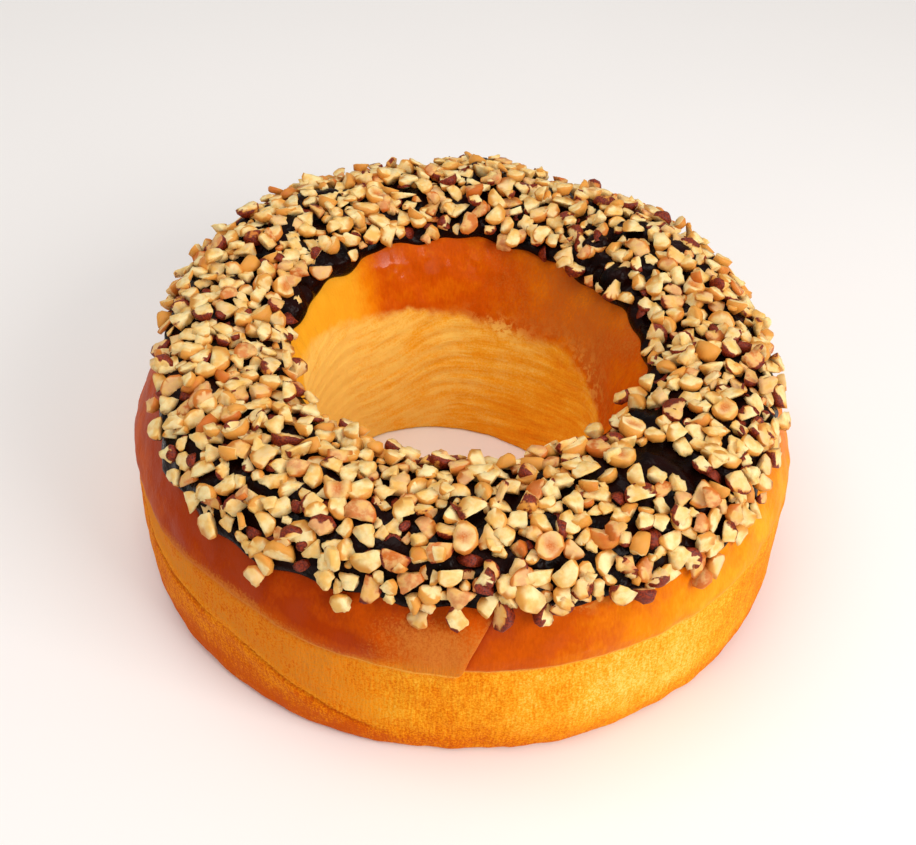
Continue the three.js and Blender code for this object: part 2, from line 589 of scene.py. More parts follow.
def blank_material(name: str) -> tuple[bpy.types.Material, Graph, bpy.types.Node]:
    """A new node material with only its shader and output.

    Args:
        name: Name of the material.

    Returns:
        The material, its graph and its Principled shader.
    """
    material = bpy.data.materials.new(name)
    material.use_nodes = True
    material.node_tree.nodes.clear()
    graph = Graph(material.node_tree)
    shader = graph.node("ShaderNodeBsdfPrincipled")
    graph.node("ShaderNodeOutputMaterial", {"Surface": shader.outputs[0]})
    return material, graph, shader


def set_shader(graph: Graph, shader: bpy.types.Node, inputs: dict[str, object]) -> None:
    """Links what changes over the surface to the shader, and sets what is the same all over.

    Args:
        graph: The material's graph.
        shader: The material's Principled shader.
        inputs: A socket or a value for each of the shader's inputs.
    """
    for name, value in inputs.items():
        graph.feed(shader.inputs[name], value)


def set_bump(graph: Graph, shader: bpy.types.Node, height: bpy.types.NodeSocket,
             strength: float, distance: float) -> None:
    """Feeds a height into the shader's normal.

    Args:
        graph: The material's graph.
        shader: The material's Principled shader.
        height: Height from 0 to 1.
        strength: Share of the effect.
        distance: Metres that a height of one stands for.
    """
    bump = graph.node("ShaderNodeBump", {"Height": height, "Strength": strength,
                                         "Distance": distance})
    graph.feed(shader.inputs["Normal"], bump.outputs[0])


# ------------------------------------------------------------------------------ finishes


@dataclass(frozen=True)
class CrustFinish:
    """Baked brioche crust: egg-washed and deep above its wash line, paler and matte below.

    Sizes of marks are counts to the metre.
    """

    deep: Colour = shade(166, 54, 2)
    russet: Colour = shade(206, 86, 2)
    orange: Colour = shade(236, 134, 8)
    golden: Colour = shade(248, 172, 38)
    pale: Colour = shade(254, 206, 100)
    tan: Colour = shade(206, 116, 40)
    # Painted shade in the low fold's crack and painted shadow beside the seam's flap.
    crease: Colour = shade(150, 34, 2)
    patches: float = 55.0
    specks: float = 1050.0
    frays: float = 120.0
    blotches: float = 240.0
    coarse_grain: float = 380.0
    fine_grain: float = 1700.0
    upright_streaks: tuple[float, float, float] = (900.0, 900.0, 120.0)
    arc_wander: float = 45.0
    fray_depth: float = 5.0
    patch_depth: float = 0.22
    matte: float = 0.66
    satin: float = 0.42
    coat: float = 0.12
    coat_roughness: float = 0.1
    specular: float = 0.03
    glow: float = 0.1
    glow_reach: tuple[float, float, float] = (1.0, 0.45, 0.2)
    glow_depth: float = 0.003
    bump: float = 0.4
    bump_depth: float = 0.0006

    def material(self, effects: Effects) -> bpy.types.Material:
        """Builds the finish.

        Args:
            effects: The shared effects.

        Returns:
            The crust's material.
        """
        material, graph, shader = blank_material("baked_crust")
        place = graph.place()
        mottle = graph.effect(effects.mottle, {"Place": place, "Patches": self.patches,
                                               "Specks": self.specks})
        patches, specks = mottle.outputs["Patchiness"], mottle.outputs["Speckle"]
        streaks = self._streaks(graph, place)
        patchy = graph.swing(patches, self.patch_depth)
        dusty = self._dusty(graph, patchy, specks, streaks)
        washed = self._washed(graph, place)
        tan = graph.span(graph.sum(graph.attribute("tan"), graph.product(dusty, 1.3)), 0.1, 1.2)
        tan = graph.product(tan, graph.span(graph.attribute("tan"), 0.0, 0.3))
        colour = graph.mix(washed, self._band(graph, dusty), self._glossy(graph, patchy, streaks))
        colour = graph.mix(tan, colour, self.tan)
        shine = graph.product(washed, graph.span(tan, 0.0, 1.0, 1.0, 0.2))
        coat = graph.product(shine, graph.span(patches, 0.3, 1.0, 0.0, self.coat))
        set_shader(graph, shader, {
            "Base Color": self._marked(graph, place, specks, colour),
            "Roughness": graph.span(shine, 0.0, 1.0, self.matte, self.satin),
            "Coat Weight": graph.sum(coat, graph.attribute("glint")),
            "Coat Roughness": self.coat_roughness,
            "Specular IOR Level": self.specular,
            "Subsurface Weight": self.glow,
            "Subsurface Radius": self.glow_reach,
            "Subsurface Scale": self.glow_depth,
        })
        grain = graph.effect(effects.grain, {"Place": place, "Coarse": self.coarse_grain,
                                             "Fine": self.fine_grain, "Fine Share": 0.5})
        stretched = graph.product(streaks, graph.span(washed, 0.0, 1.0, 0.9, 0.3))
        height = graph.sum(grain.outputs["Height"], stretched)
        set_bump(graph, shader, height, self.bump, self.bump_depth)
        return material

    def _streaks(self, graph: Graph, place: bpy.types.NodeSocket) -> bpy.types.NodeSocket:
        """Stretch marks: upright on the outside, and along the slanting arcs inside the hole.

        Args:
            graph: The material's graph.
            place: The place on the object.

        Returns:
            The marks, from 0 to 1.
        """
        upright = graph.noise(graph.stretch(place, self.upright_streaks), 1.0, 4.0)
        split = graph.node("ShaderNodeSeparateXYZ", {"Vector": place})
        slow = [graph.product(split.outputs[axis], self.arc_wander) for axis in (0, 1)]
        arc = graph.node("ShaderNodeCombineXYZ", {"X": graph.product(graph.attribute("arc"), 0.5),
                                                  "Y": slow[0], "Z": slow[1]})
        arcs = graph.noise(arc.outputs[0], 1.0, 5.0, 0.6)
        both = graph.node("ShaderNodeMix", {0: graph.attribute("throat"), 2: upright, 3: arcs},
                          data_type="FLOAT")
        return graph.span(both.outputs[0], 0.28, 0.72)

    def _washed(self, graph: Graph, place: bpy.types.NodeSocket) -> bpy.types.NodeSocket:
        """Where the egg wash lies, with its edge frayed and feathered.

        Args:
            graph: The material's graph.
            place: The place on the object.

        Returns:
            The wash's share, from 0 to 1.
        """
        fray = graph.swing(graph.noise(place, self.frays, 5.0), self.fray_depth)
        edge = graph.sum(graph.attribute("wash_edge"), graph.product(fray, graph.attribute("fray")))
        return graph.span(graph.math("DIVIDE", edge, graph.attribute("feather")), -1.0, 1.0)

    @staticmethod
    def _dusty(graph: Graph, patchy: bpy.types.NodeSocket, specks: bpy.types.NodeSocket,
               streaks: bpy.types.NodeSocket) -> bpy.types.NodeSocket:
        """The unevenness of the unwashed crust, which is finer inside the hole.

        Args:
            graph: The material's graph.
            patchy: Swing of the soft patches.
            specks: The small specks.
            streaks: The stretch marks.

        Returns:
            A swing about zero.
        """
        throat = graph.attribute("throat")
        speckled = graph.swing(specks, graph.span(throat, 0.0, 1.0, 0.42, 0.2))
        streaked = graph.swing(streaks, graph.span(throat, 0.0, 1.0, 0.2, 0.28))
        return graph.sum(speckled, graph.sum(patchy, streaked))

    def _band(self, graph: Graph, dusty: bpy.types.NodeSocket) -> bpy.types.NodeSocket:
        """Colour of the unwashed crust, from russet at its darkest to pale.

        Args:
            graph: The material's graph.
            dusty: Swing of its paleness.

        Returns:
            The colour.
        """
        return graph.ramp(graph.sum(graph.attribute("paleness"), dusty),
                          [(0.0, self.russet), (0.34, self.orange), (0.68, self.golden),
                           (1.0, self.pale)])

    def _glossy(self, graph: Graph, patchy: bpy.types.NodeSocket,
                streaks: bpy.types.NodeSocket) -> bpy.types.NodeSocket:
        """Colour of the washed crust, from golden to the deepest bake.

        Args:
            graph: The material's graph.
            patchy: Broad swing of its bake.
            streaks: Noise drawn out along the crust.

        Returns:
            The colour.
        """
        uneven = graph.sum(patchy, graph.swing(streaks, 0.09))
        return graph.ramp(graph.sum(graph.attribute("bake"), uneven),
                          [(0.0, self.golden), (0.3, self.orange), (0.62, self.russet),
                           (1.0, self.deep)])

    def _marked(self, graph: Graph, place: bpy.types.NodeSocket, specks: bpy.types.NodeSocket,
                colour: bpy.types.NodeSocket) -> bpy.types.NodeSocket:
        """Adds the pale blotches with their painted sheen patch, the painted highlight along the
        ridge line and the reddish creases of painted shade and shadow.

        Args:
            graph: The material's graph.
            place: The place on the object.
            specks: The small specks.
            colour: The crust's colour without them.

        Returns:
            The crust's colour.
        """
        blotches = graph.span(graph.noise(place, self.blotches, 6.0, 0.65), 0.47, 0.58)
        # Pale blotches: real flakes inside the hole, and a painted sheen patch on the front crown.
        colour = graph.mix(graph.product(graph.attribute("flakes_and_sheen"), blotches), colour, self.pale)
        # Painted highlight: a pale speckled line along the ridge, where the shoulder catches the
        # light.
        line = graph.product(graph.attribute("ridge"), graph.span(specks, 0.0, 1.0, 0.35, 0.9))
        colour = graph.mix(line, colour, self.pale)
        # The creases are painted shade and painted shadow.
        return graph.mix(graph.attribute("crease"), colour, self.crease)


@dataclass(frozen=True)
class ChocolateFinish:
    """Dark poured chocolate, set to a shine."""

    dark: Colour = shade(9, 3, 2)
    brown: Colour = shade(40, 10, 5)
    gloss: float = 0.16
    satin: float = 0.32
    specular: float = 0.07
    patches: float = 90.0
    specks: float = 420.0
    brownness: float = 0.6
    coarse_grain: float = 160.0
    fine_grain: float = 700.0
    bump: float = 0.5
    bump_depth: float = 0.002

    def material(self, effects: Effects) -> bpy.types.Material:
        """Builds the finish.

        Args:
            effects: The shared effects.

        Returns:
            The glaze's material.
        """
        material, graph, shader = blank_material("dark_chocolate")
        place = graph.place()
        mottle = graph.effect(effects.mottle, {"Place": place, "Patches": self.patches,
                                               "Specks": self.specks})
        share = graph.product(mottle.outputs["Patchiness"], self.brownness)
        colour = graph.mix(share, self.dark, self.brown)
        set_shader(graph, shader, {
            "Base Color": colour,
            "Roughness": graph.span(mottle.outputs["Speckle"], 0.0, 1.0, self.gloss, self.satin),
            "Specular IOR Level": self.specular,
        })
        grain = graph.effect(effects.grain, {"Place": place, "Coarse": self.coarse_grain,
                                             "Fine": self.fine_grain, "Fine Share": 0.25})
        set_bump(graph, shader, grain.outputs["Height"], self.bump, self.bump_depth)
        return material


@dataclass(frozen=True)
class HazelnutFinish:
    """Roasted hazelnut: pale where it broke, tan on its round side, brown in its hollow or skin."""

    broken: Colour = shade(238, 186, 96)
    ivory: Colour = shade(255, 238, 182)
    round_side: Colour = shade(224, 154, 64)
    toasted: Colour = shade(206, 108, 32)
    skin: Colour = shade(80, 12, 6)
    chaff: Colour = shade(154, 54, 20)
    satin: float = 0.42
    matte: float = 0.6
    specular: float = 0.3
    glow: float = 0.15
    glow_reach: tuple[float, float, float] = (1.0, 0.6, 0.3)
    glow_depth: float = 0.002
    patches: float = 190.0
    specks: float = 1500.0
    coarse_grain: float = 900.0
    fine_grain: float = 3200.0
    bump: float = 0.4
    bump_depth: float = 0.0003

    def material(self, effects: Effects) -> bpy.types.Material:
        """Builds the finish.

        Args:
            effects: The shared effects.

        Returns:
            The nuts' material.
        """
        material, graph, shader = blank_material("roasted_hazelnut")
        place = graph.place()
        mottle = graph.effect(effects.mottle, {"Place": place, "Patches": self.patches,
                                               "Specks": self.specks})
        patches, specks = mottle.outputs["Patchiness"], mottle.outputs["Speckle"]
        colour = self._skinned(graph, self._roasted(graph, patches, specks), patches, specks)
        set_shader(graph, shader, {
            "Base Color": colour,
            "Roughness": graph.span(specks, 0.0, 1.0, self.satin, self.matte),
            "Specular IOR Level": self.specular,
            "Subsurface Weight": self.glow,
            "Subsurface Radius": self.glow_reach,
            "Subsurface Scale": self.glow_depth,
        })
        grain = graph.effect(effects.grain, {"Place": place, "Coarse": self.coarse_grain,
                                             "Fine": self.fine_grain, "Fine Share": 0.4})
        set_bump(graph, shader, grain.outputs["Height"], self.bump, self.bump_depth)
        return material

    def _roasted(self, graph: Graph, patches: bpy.types.NodeSocket,
                 specks: bpy.types.NodeSocket) -> bpy.types.NodeSocket:
        """Colour of the flesh: pale where it broke, tan outside, browned in its hollow.

        Args:
            graph: The material's graph.
            patches: The soft patches.
            specks: The small specks.

        Returns:
            The colour.
        """
        tone = graph.attribute("tone")
        cut = graph.span(graph.attribute("cut"), 0.25, 0.75)
        flesh = graph.mix(graph.product(patches, 0.78), self.broken, self.ivory)
        outside = graph.mix(graph.span(graph.sum(tone, graph.product(patches, 0.25)), 0.5, 1.1),
                            self.round_side, self.toasted)
        colour = graph.mix(cut, outside, flesh)
        roast = graph.product(graph.span(tone, 0.52, 0.92), graph.span(patches, 0.2, 0.9, 0.25, 1.0))
        colour = graph.mix(roast, colour, self.toasted)
        browned = graph.mix(graph.span(tone, 0.6, 1.0), self.toasted, self.chaff)
        hollow = graph.product(graph.attribute("hollow"), graph.span(specks, 0.0, 1.0, 0.75, 1.0))
        return graph.mix(hollow, colour, browned)

    def _skinned(self, graph: Graph, colour: bpy.types.NodeSocket, patches: bpy.types.NodeSocket,
                 specks: bpy.types.NodeSocket) -> bpy.types.NodeSocket:
        """Adds the ragged brown skin.

        Args:
            graph: The material's graph.
            colour: The flesh's colour.
            patches: The soft patches.
            specks: The small specks.

        Returns:
            The colour.
        """
        ragged = graph.sum(graph.attribute("skin"), graph.swing(patches, 0.6))
        brown = graph.mix(specks, self.skin, self.chaff)
        return graph.mix(graph.span(ragged, 0.36, 0.56), colour, brown)


# ------------------------------------------------------------------------------ the baked ring


@dataclass
class Spots:
    """Points of the crust, and where each lies.

    turn is radians past the seam, and outer is 1 on the outside and 0 inside the hole.
    """

    turn: Array
    angle: Array
    height: Array
    outer: Array
    points: Array


@dataclass
class LoafRing:
    """The baked ring: one crust with its seam, fold, wash line, wrinkles and blisters.

    A line is points of degrees and height. A blister is its degrees, height and size. A glint is
    its side, strength, height and half height. Lumps are their height and width.
    """

    form: RingForm
    around: int = 540
    up: int = 175
    base: int = 5
    gathered: float = 0.82
    gathering: float = 1.35
    crown_sides: tuple[float, float] = (95.0, 125.0)
    outer_wall: float = 115.0
    hole_wall: float = 105.0
    row_spacing: tuple[tuple[float, float], ...] = ((0, 0), (0.49, 0.37), (0.6, 0.6), (1, 1))
    ridge_line: tuple[tuple[float, float], ...] = (
        (0, 60), (120, 58), (180, 58), (208, 57), (222, 63), (236, 64.5), (247, 60), (257, 56.5),
        (270, 56.5), (284, 55), (300, 56.5), (312, 58), (326, 64), (340, 65), (360, 60))
    fold_line: tuple[tuple[float, float], ...] = (
        (190, 47), (208, 44.5), (220, 43), (236, 38), (244, 29), (252, 19.5), (260, 11.5))
    arc_line: tuple[tuple[float, float], ...] = (
        (0, 52), (16, 55), (43, 61), (63, 56), (80, 58), (92, 64), (107, 65), (121, 67),
        (136, 69), (157, 78), (185, 84), (230, 76), (300, 62), (360, 52))
    blisters: tuple[tuple[float, float, float], ...] = (
        (290.4, 64, 2.6), (292.6, 65.5, 1.6), (288.6, 62.5, 1.4), (301, 60, 1.5), (282.5, 70, 1.2),
        (247, 74, 1.3), (221, 80, 1.6), (331, 72, 1.4), (344, 41, 1.5), (203, 70, 1.5),
        (40, 70, 1.6), (98, 46, 1.5), (151, 72, 1.7))
    hole_blisters: tuple[tuple[float, float, float], ...] = (
        (120, 66, 1.8), (63, 72, 1.6), (20, 63, 1.7), (152, 48, 1.6), (85, 40, 1.5), (44, 78, 1.3),
        (75, 84, 1.4), (104, 80, 1.2))
    glints: tuple[tuple[Side, float, float, float], ...] = (
        (Side(121.5, 4.5), 1.0, 87.0, 4.5), (Side(105, 2.5), 0.6, 87.0, 6.0),
        (Side(88, 2.5), 0.5, 87.0, 5.0))
    swells: tuple[float, float] = (0.5, 36.0)
    dimples: tuple[float, float] = (0.16, 8.0)
    pores: tuple[float, float] = (0.05, 2.6)
    ledge: float = 0.75
    groove: float = 0.55
    arc_spacing: tuple[float, float] = (7.3, 3.7)
    arc_height: float = 0.24
    pleat_height: float = 0.15
    rim_height: float = 0.35
    crackle_height: float = 0.34
    # The crown's bake is deeper on the left and paler on the right: partly the crust's own bake,
    # partly painted shade on the left and painted light on the right, where the key light falls.
    deep_bake_and_painted_shade_left: Side = Side(228, 46)
    pale_bake_and_painted_light_right: Side = Side(328, 37)
    deep_streak: Side = Side(251, 9)
    deep_by_seam: Side = Side(280, 13)
    # Painted light: a pool of paler crust on the front band where the key light falls.
    painted_light_front: Side = Side(304, 17)
    dull_right: Side = Side(350, 26)
    soft_ledge: Side = Side(330, 34)
    soft_wash: Side = Side(335, 32)
    # Painted highlight along the ridge line at the front.
    painted_ridge_highlight: Side = Side(272, 26)
    # Painted sheen: a pale patch on the front crown where the key light reflects.
    painted_sheen_front: Side = Side(289.5, 4.5)
    # Lighter, rosier upper wall in the hole: partly the crust's own tone, partly a painted sheen on
    # the wall that faces away from the key light.
    sheen_lightened_wall: Side = Side(44, 22)
    rosy_tone_and_sheen_wall: Side = Side(36, 38)
    # Inside the hole: painted light on the wall that faces the key light, and painted shade on the
    # wall that faces away, lowest down most of all.
    painted_light_throat: Side = Side(172, 38)
    painted_shade_throat: Side = Side(20, 40)
    shaded_foot: Side = Side(55, 28)
    flaky_back: Side = Side(72, 13)
    flaky_side: Side = Side(20, 22)

    def turns(self) -> Array:
        """Turns from the seam, closest together near it so that its step is crisp.

        Returns:
            One turn in radians for each row of corners round the ring.
        """
        share = np.linspace(-1, 1, self.around, endpoint=False)
        close = self.gathered
        return pi * (share * (1 - close) + close * np.sign(share) * np.abs(share) ** self.gathering)

    @staticmethod
    def _line(points: tuple[tuple[float, float], ...], angle: Array) -> Array:
        """Height of a line round the ring, smoothed over a few degrees.

        Args:
            points: Degrees and height of each of its points.
            angle: Angles around the ring.

        Returns:
            Heights in millimetres.
        """
        places, heights = np.array(points, float).T
        turn = np.degrees(angle)
        near = [np.interp((turn + step) % 360, places, heights) for step in (-4, -2, 0, 2, 4)]
        return np.mean(near, axis=0)

    def build(self, effects: Effects) -> bpy.types.Object:
        """Makes the ring.

        Args:
            effects: The shared effects.

        Returns:
            The crust's object.
        """
        section = self.form.section
        rows, shares = np.array(self.row_spacing).T
        along = np.interp(np.linspace(0, 1, self.up), rows, shares)
        _, heights = section.at(along)
        turn = self.turns()[:, None]
        angle = turn + self.form.seam.angle_at(heights, section.crease_height)[None, :]
        along = np.broadcast_to(along, angle.shape)
        radius, height = section.at(along)
        outer = smooth_step(radius, *self.crown_sides)
        spots = Spots(turn, angle, height, outer, self.form.point(angle, along))
        points = spots.points + self.form.normal(angle, along) * self._relief(spots)[..., None]
        points[..., 2] = np.maximum(points[..., 2], 0)
        points[:, (0, -1), 2] = 0
        points, fields = self._floored(points, self._fields(replace(spots, points=points)))
        piece = mesh_object("baked_ring", points.reshape(-1, 3) * MM,
                            ring_faces(*points.shape[:2]), fields)
        piece.data.materials.append(CrustFinish().material(effects))
        return piece

    def _floored(self, points: Array, fields: dict[str, Array]) -> tuple[Array, dict[str, Array]]:
        """Adds the rows of points across the underside.

        Args:
            points: The crust's points, from the outer foot to the foot of the hole.
            fields: Values at those points.

        Returns:
            The points and the values with the underside's.
        """
        share = np.linspace(0, 1, self.base + 2)[1:-1][None, :, None]
        floor = points[:, -1:, :] * (1 - share) + points[:, :1, :] * share
        floor[..., 2] = 0
        rows = np.zeros((len(points), self.base))
        wider = {key: np.concatenate([value, rows + value[:, :1]], axis=1)
                 for key, value in fields.items()}
        return np.concatenate([points, floor], axis=1), wider

    def _relief(self, spots: Spots) -> Array:
        """How far the crust stands out of the plain form.

        Args:
            spots: The crust's spots.

        Returns:
            Millimetres at each spot.
        """
        points, outer = spots.points, spots.outer
        steady = 0.4 + 0.6 * smooth_step(spots.height, 0, 30)
        (swell, broad), (dimple, middling), (pore, fine) = self.swells, self.dimples, self.pores
        relief = swell * steady * Lumps(3).at(points, broad) + dimple * Lumps(5).at(points, middling)
        relief = relief + pore * Lumps(6).at(points, fine)
        relief = relief + self._lap_relief(spots)
        relief = relief + outer * self._ledge_relief(spots)
        relief = relief + self._fold_relief(spots)
        relief = relief + self._blister_relief(spots)
        return relief + (1 - outer) * self._throat_relief(spots)

    def _lap_relief(self, spots: Spots) -> Array:
        """The step at the seam, where the flap stands proud of the crust beside it.

        Args:
            spots: The crust's spots.

        Returns:
            Millimetres at each spot.
        """
        seam, turn = self.form.seam, spots.turn
        lap_height = smooth_step(spots.height, seam.low, seam.low + 6)
        lap_height = lap_height * (1 - smooth_step(spots.height, seam.high - 8, seam.high + 4))
        flap = np.where(turn < 0, np.exp(turn / seam.fade), -seam.sink * np.exp(-turn / seam.fade))
        lip = 1 - seam.lip * np.exp(-np.abs(turn) / seam.crisp) * (turn < 0)
        return seam.rise * spots.outer * lap_height * flap * lip

    def _ledge_relief(self, spots: Spots) -> Array:
        """The soft ledge along the wash line, with a shallow groove under it.

        Args:
            spots: The crust's spots.

        Returns:
            Millimetres at each spot.
        """
        over = spots.height - self._line(self.ridge_line, spots.angle)
        ledge = window(over, (-1.2, 2.0), (4, 26))
        soft = 1 - 0.6 * self.soft_ledge.share(spots.angle)
        return soft * (self.ledge * ledge - self.groove * bell(over, -1.6, 1.8))

    @staticmethod
    def _fold_window(angle: Array) -> Array:
        """Share of the low fold that shows at an angle: it fades at both ends and between."""
        turn = np.degrees(angle) % 360
        return window(turn, (196, 214), (254, 264)) * (1 - 0.8 * bell(turn, 231.5, 3.5))

    def _fold_relief(self, spots: Spots) -> Array:
        """The low fold's crack and the soft lips on both sides of it.

        Args:
            spots: The crust's spots.

        Returns:
            Millimetres at each spot.
        """
        fold = spots.height - self._line(self.fold_line, spots.angle)
        crack = -0.8 * bell(fold, 0, 0.7) + 0.12 * bell(fold, 3, 2) + 0.45 * bell(fold, -5, 5)
        return self._fold_window(spots.angle) * spots.outer * crack

    def _blister_relief(self, spots: Spots) -> Array:
        """Small bubbles in the crust.

        Args:
            spots: The crust's spots.

        Returns:
            Millimetres at each spot.
        """
        relief = np.zeros(spots.angle.shape)
        reach = np.hypot(spots.points[..., 0], spots.points[..., 1])
        walls = ((self.blisters, reach > self.outer_wall),
                 (self.hole_blisters, reach < self.hole_wall))
        for blisters, wall in walls:
            for degrees, level, size in blisters:
                aside = turn_between(spots.angle, radians(degrees)) * reach
                off = np.hypot(aside, spots.height - level)
                relief += 0.32 * size * wall * bell(off, 0, size * 0.55)
        return relief

    @staticmethod
    def _arc(spots: Spots) -> Array:
        """A coordinate in millimetres that is level along the slanting stretch arcs."""
        wander = Lumps(11).at(spots.points * np.array([1, 1, 0.3]), 34)
        return spots.height + 13 * np.cos(spots.angle - radians(160)) + 2.2 * wander

    def _throat_relief(self, spots: Spots) -> Array:
        """Stretch arcs low on the hole's wall, and wrinkles and crackle higher up.

        Args:
            spots: The crust's spots.

        Returns:
            Millimetres at each spot.
        """
        points, height = spots.points, spots.height
        arc = self._arc(spots)
        edge = height - self._line(self.arc_line, spots.angle)
        low = smooth_step(height, 3, 12) * (1 - smooth_step(edge, -8, 2))
        rough = 1 + 0.6 * Lumps(12).at(points, 16)
        wide, close = self.arc_spacing
        arcs = np.sin(arc * 2 * pi / wide + Lumps(15).at(points, 40))
        arcs = arcs + 0.6 * np.sin(arc * 2 * pi / close)
        high = smooth_step(edge, -4, 4) * (1 - smooth_step(height, 90, 99))
        pleats = Lumps(13).at(points * np.array([1, 1, 0.1]), 3.4)
        crackle = self._glint(spots) * Lumps(17).at(points, 2.3)
        return (self.arc_height * low * rough * arcs + self.pleat_height * high * pleats
                + self.rim_height * bell(edge, 1.5, 3) + self.crackle_height * crackle)

    def _glint(self, spots: Spots) -> Array:
        """Where the egg wash pooled and crackled under the hole's back rim, from 0 to 1."""
        return sum(share * side.share(spots.angle) * bell(spots.height, level, width)
                   for side, share, level, width in self.glints)

    def _fields(self, spots: Spots) -> dict[str, Array]:
        """Values that the crust's finish reads: where it is washed, deep, tan or creased, and where
        light and shade are painted.

        Args:
            spots: The crust's spots.

        Returns:
            Values at each spot, by attribute name.
        """
        outside, inside = self._outside(spots), self._inside(spots)
        fields = {key: np.where(spots.outer > 0.5, value, inside[key])
                  for key, value in outside.items()}
        edge = spots.height - self._line(self.arc_line, spots.angle)
        fields["crease"] = self._crease_shade_and_seam_shadow(spots)
        fields["throat"] = (1 - spots.outer) * (1 - smooth_step(edge, -4, 6))
        fields["arc"] = self._arc(spots)
        return fields

    def _outside(self, spots: Spots) -> dict[str, Array]:
        """The finish's values on the outside.

        Args:
            spots: The crust's spots.

        Returns:
            Values at each spot, by attribute name.
        """
        turn, angle, height = spots.turn, spots.angle, spots.height
        degrees = np.degrees(angle) % 360
        ridge = height - self._line(self.ridge_line, angle)
        fold = height - self._line(self.fold_line, angle)
        # left carries the painted shade of the left side, and right the painted light of the right
        # side, into the bake, tan, paleness, feather and fray.
        left, right = self.deep_bake_and_painted_shade_left.share(angle) * (turn < 0), self.pale_bake_and_painted_light_right.share(angle)
        flap = smooth_step(degrees, 253, 266) * (turn < 0) * (degrees < 285)
        streak = self.deep_streak.share(angle) * bell(ridge, 10, 3)
        bake = (0.6 + 0.34 * left - 0.48 * right + 0.12 * smooth_step(height, 62, 84)
                + 0.25 * streak + 0.2 * self.deep_by_seam.share(angle) * (turn >= 0))
        band_left = window(degrees, (188, 200), (248, 268))
        below = 1 - smooth_step(ridge, -1, 0.8)
        lapped = 0.86 * smooth_step(ridge, 0.6, 2.0) * (1 - smooth_step(height, 72, 86))
        tan = np.maximum(0.56 * band_left * below * smooth_step(fold, -1, 6), flap * lapped)
        tan = np.maximum(tan, 0.74 * left * bell(ridge, 0.8, 3.4))
        foot = 1 - smooth_step(height, 4, 26)
        lobe = band_left * (1 - smooth_step(fold, -1, 1))
        return {
            "wash_edge": ridge - 6 * flap,
            "feather": 0.8 + 4.6 * left + 4.5 * self.soft_wash.share(angle),
            "bake": bake,
            "tan": np.clip(tan, 0, 1),
            # The front's extra paleness is painted light.
            "paleness": (0.5 + 0.3 * self.painted_light_front.share(angle) - 0.08 * right - 0.28 * foot
                         - 0.12 * self.dull_right.share(angle) - 0.2 * lobe - 0.12 * left),
            "fray": 0.12 + 0.6 * left + 0.3 * right,
            # The ridge value is a painted highlight.
            "ridge": 0.75 * self.painted_ridge_highlight.share(angle) * bell(ridge, 0.2, 0.8),
            # On the outside the blotches are only the painted sheen patch.
            "flakes_and_sheen": 0.3 * self.painted_sheen_front.share(angle) * bell(height, 84, 4.5),
            "glint": np.zeros(angle.shape),
        }

    def _inside(self, spots: Spots) -> dict[str, Array | float]:
        """The finish's values inside the hole.

        Args:
            spots: The crust's spots.

        Returns:
            Values at each spot, or one for all of them, by attribute name.
        """
        angle, height = spots.angle, spots.height
        degrees = np.degrees(angle) % 360
        edge = height - self._line(self.arc_line, angle)
        golden_wall = window(degrees, (124, 144), (215, 250))
        foot = self.shaded_foot.share(angle) * (1 - smooth_step(height, 4, 34))
        return {
            "wash_edge": edge,
            "feather": 3.2,
            # The lighter bake and rosy tone on the hole's upper right wall are partly painted sheen.
            "bake": 0.62 - 0.7 * golden_wall - 0.16 * self.sheen_lightened_wall.share(angle),
            "tan": 0.82 * self.rosy_tone_and_sheen_wall.share(angle) * smooth_step(edge, 0, 7),
            # The hole's paleness holds its painted light and painted shade.
            "paleness": (0.83 + 0.3 * self.painted_light_throat.share(angle)
                         - 0.24 * self.painted_shade_throat.share(angle) - 0.16 * foot),
            "fray": 2.2,
            "ridge": 0.0,
            "flakes_and_sheen": (self.flaky_back.share(angle) * bell(edge, -1, 6)
                      + 0.4 * self.flaky_side.share(angle) * bell(edge, 2, 10)),
            "glint": self._glint(spots),
        }

    def _crease_shade_and_seam_shadow(self, spots: Spots) -> Array:
        """Painted shade: the dark lines in the low fold's crack, and the painted shadow beside the
        edge of the seam's flap.

        Args:
            spots: The crust's spots.

        Returns:
            Their depth of colour, from 0 to 1.
        """
        turn, height, outer = spots.turn, spots.height, spots.outer
        fold = height - self._line(self.fold_line, spots.angle)
        # The fold's line is painted shade in its crack.
        crease = 0.6 * self._fold_window(spots.angle) * outer * bell(fold, -0.2, 0.8)
        # The seam's line is a painted shadow cast by the flap's edge.
        seam_height = window(height, (57, 60), (78, 90))
        crisp = np.exp(-turn / self.form.seam.crisp)
        seam = 0.9 * outer * seam_height * crisp * (turn >= 0)
        return np.clip(crease + seam, 0, 1)


# ------------------------------------------------------------------------------ the glaze


